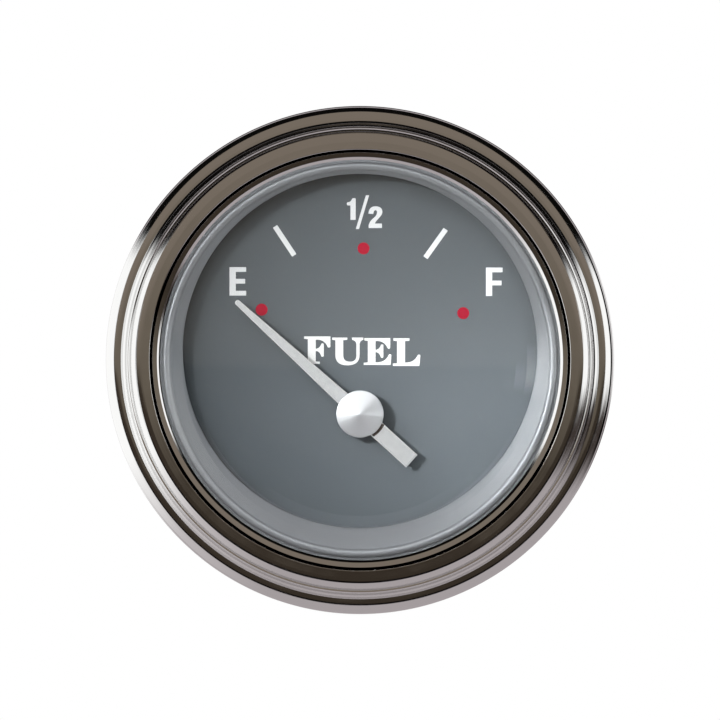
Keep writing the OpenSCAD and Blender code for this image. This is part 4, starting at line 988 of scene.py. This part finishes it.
dress(brass, "dial_feet", "pointer_bush", "hairspring_collet", "hairspring_stud", "stop_arm", "front_bearing",
      "rear_bearing", "frame_spacers", "terminal_nuts", "lamp_contact_tab", "bulb_cap", "hairspring")

# Insulators. Washers punched from vulcanised fibre, clamped under the studs'
# collars and inside the case. Fibre is a matt red-brown, mottled by its pulp.
fibre, tree, surface = new_material("vulcanised fibre", {"Roughness": 0.78})
where = add(tree, "ShaderNodeTexCoord").outputs["Object"]
strands = add(tree, "ShaderNodeTexNoise", {"Vector": where, "Scale": 1 / (0.3 * mm), "Detail": 4.0})
pulp = add(tree, "ShaderNodeValToRGB", {0: strands.outputs[0]})
set_stops(pulp, [(0.3, "#6A3B22"), (0.7, "#8A5230")])
tree.links.new(pulp.outputs[0], surface.inputs["Base Color"])
dress(fibre, "terminal_insulators_inner", "terminal_insulators_outer")

# Windings. Two crossed coils of enamelled copper wire, wound on the bobbin. The
# turns are drawn about 0.3 mm apart, coarser than the real ones, so that they show.
copper, tree, surface = new_material("enamelled copper wire", {
    "Metallic": 0.8, "Base Color": tint("#A85A2C"), "Roughness": 0.35})
where = add(tree, "ShaderNodeTexCoord").outputs["Object"]
wires = add(tree, "ShaderNodeTexWave", {"Vector": where, "Scale": 1 / (0.9 * mm),
                                        "Distortion": 0.4}, bands_direction="DIAGONAL")
relief = add(tree, "ShaderNodeBump", {"Height": wires.outputs[0], "Strength": 0.5, "Distance": 0.05 * mm})
tree.links.new(relief.outputs[0], surface.inputs["Normal"])
dress(copper, "coil_inner", "coil_outer")

# Bobbin. Two halves moulded in natural nylon, which the windings hold together.
# The nylon is milky and slightly see-through at its edges.
nylon, tree, surface = new_material("moulded natural nylon", {
    "Base Color": tint("#E2DCC8"), "Roughness": 0.5, "Subsurface Weight": 0.1,
    "Subsurface Radius": (0.4 * mm, 0.35 * mm, 0.25 * mm)})
where = add(tree, "ShaderNodeTexCoord").outputs["Object"]
flow = add(tree, "ShaderNodeTexNoise", {"Vector": where, "Scale": 1 / (0.8 * mm)})
relief = add(tree, "ShaderNodeBump", {"Height": flow.outputs[0], "Strength": 0.1, "Distance": 0.02 * mm})
tree.links.new(relief.outputs[0], surface.inputs["Normal"])
dress(nylon, "bobbin_front", "bobbin_back")

# Rotor. A disc magnet of sintered ferrite, pressed on the spindle inside the
# bobbin. It is dark grey and finely pored.
magnet, tree, surface = new_material("sintered ferrite", {
    "Base Color": tint("#3A3A3E"), "Metallic": 0.4, "Roughness": 0.6})
where = add(tree, "ShaderNodeTexCoord").outputs["Object"]
pores = add(tree, "ShaderNodeTexNoise", {"Vector": where, "Scale": 1 / (0.15 * mm)})
relief = add(tree, "ShaderNodeBump", {"Height": pores.outputs[0], "Strength": 0.3, "Distance": 0.02 * mm})
tree.links.new(relief.outputs[0], surface.inputs["Normal"])
dress(magnet, "rotor_magnet")

# Circuit board. Glass cloth in resin under green lacquer, behind the movement.
# The weave shows faintly through the lacquer.
lacquer, tree, surface = new_material("green board lacquer", {"Roughness": 0.35})
where = add(tree, "ShaderNodeTexCoord").outputs["Object"]
weave = add(tree, "ShaderNodeTexChecker", {"Vector": where, "Scale": 1 / (0.5 * mm),
                                           "Color1": tint("#1E5A33"), "Color2": tint("#22633A")})
tree.links.new(weave.outputs[0], surface.inputs["Base Color"])
dress(lacquer, "circuit_board")

# Resistors. Wire-wound on ceramic and coated with matt tan cement, soldered flat
# on the board.
ceramic, tree, surface = new_material("matt ceramic", {"Roughness": 0.7})
where = add(tree, "ShaderNodeTexCoord").outputs["Object"]
bisque = add(tree, "ShaderNodeTexNoise", {"Vector": where, "Scale": 1 / (0.4 * mm)})
body_tone = add(tree, "ShaderNodeValToRGB", {0: bisque.outputs[0]})
set_stops(body_tone, [(0.3, "#B29A78"), (0.7, "#C6B08C")])
tree.links.new(body_tone.outputs[0], surface.inputs["Base Color"])
dress(ceramic, "resistors")

# Lamp. A holder moulded in black nylon, pushed in from behind, with a small glass
# bulb in a brass cap. The mould's spark-eroded wall leaves a fine even grain.
black_nylon, tree, surface = new_material("moulded black nylon", {
    "Base Color": tint("#1C1C1E"), "Roughness": 0.45})
where = add(tree, "ShaderNodeTexCoord").outputs["Object"]
spark = add(tree, "ShaderNodeTexNoise", {"Vector": where, "Scale": 1 / (0.2 * mm), "Detail": 3.0})
relief = add(tree, "ShaderNodeBump", {"Height": spark.outputs[0], "Strength": 0.2, "Distance": 0.02 * mm})
tree.links.new(relief.outputs[0], surface.inputs["Normal"])
refined("lamp_socket", "lamp_holder", "lamp", "holder_black", black_nylon, 0.2)
dress(glass, "bulb_glass")
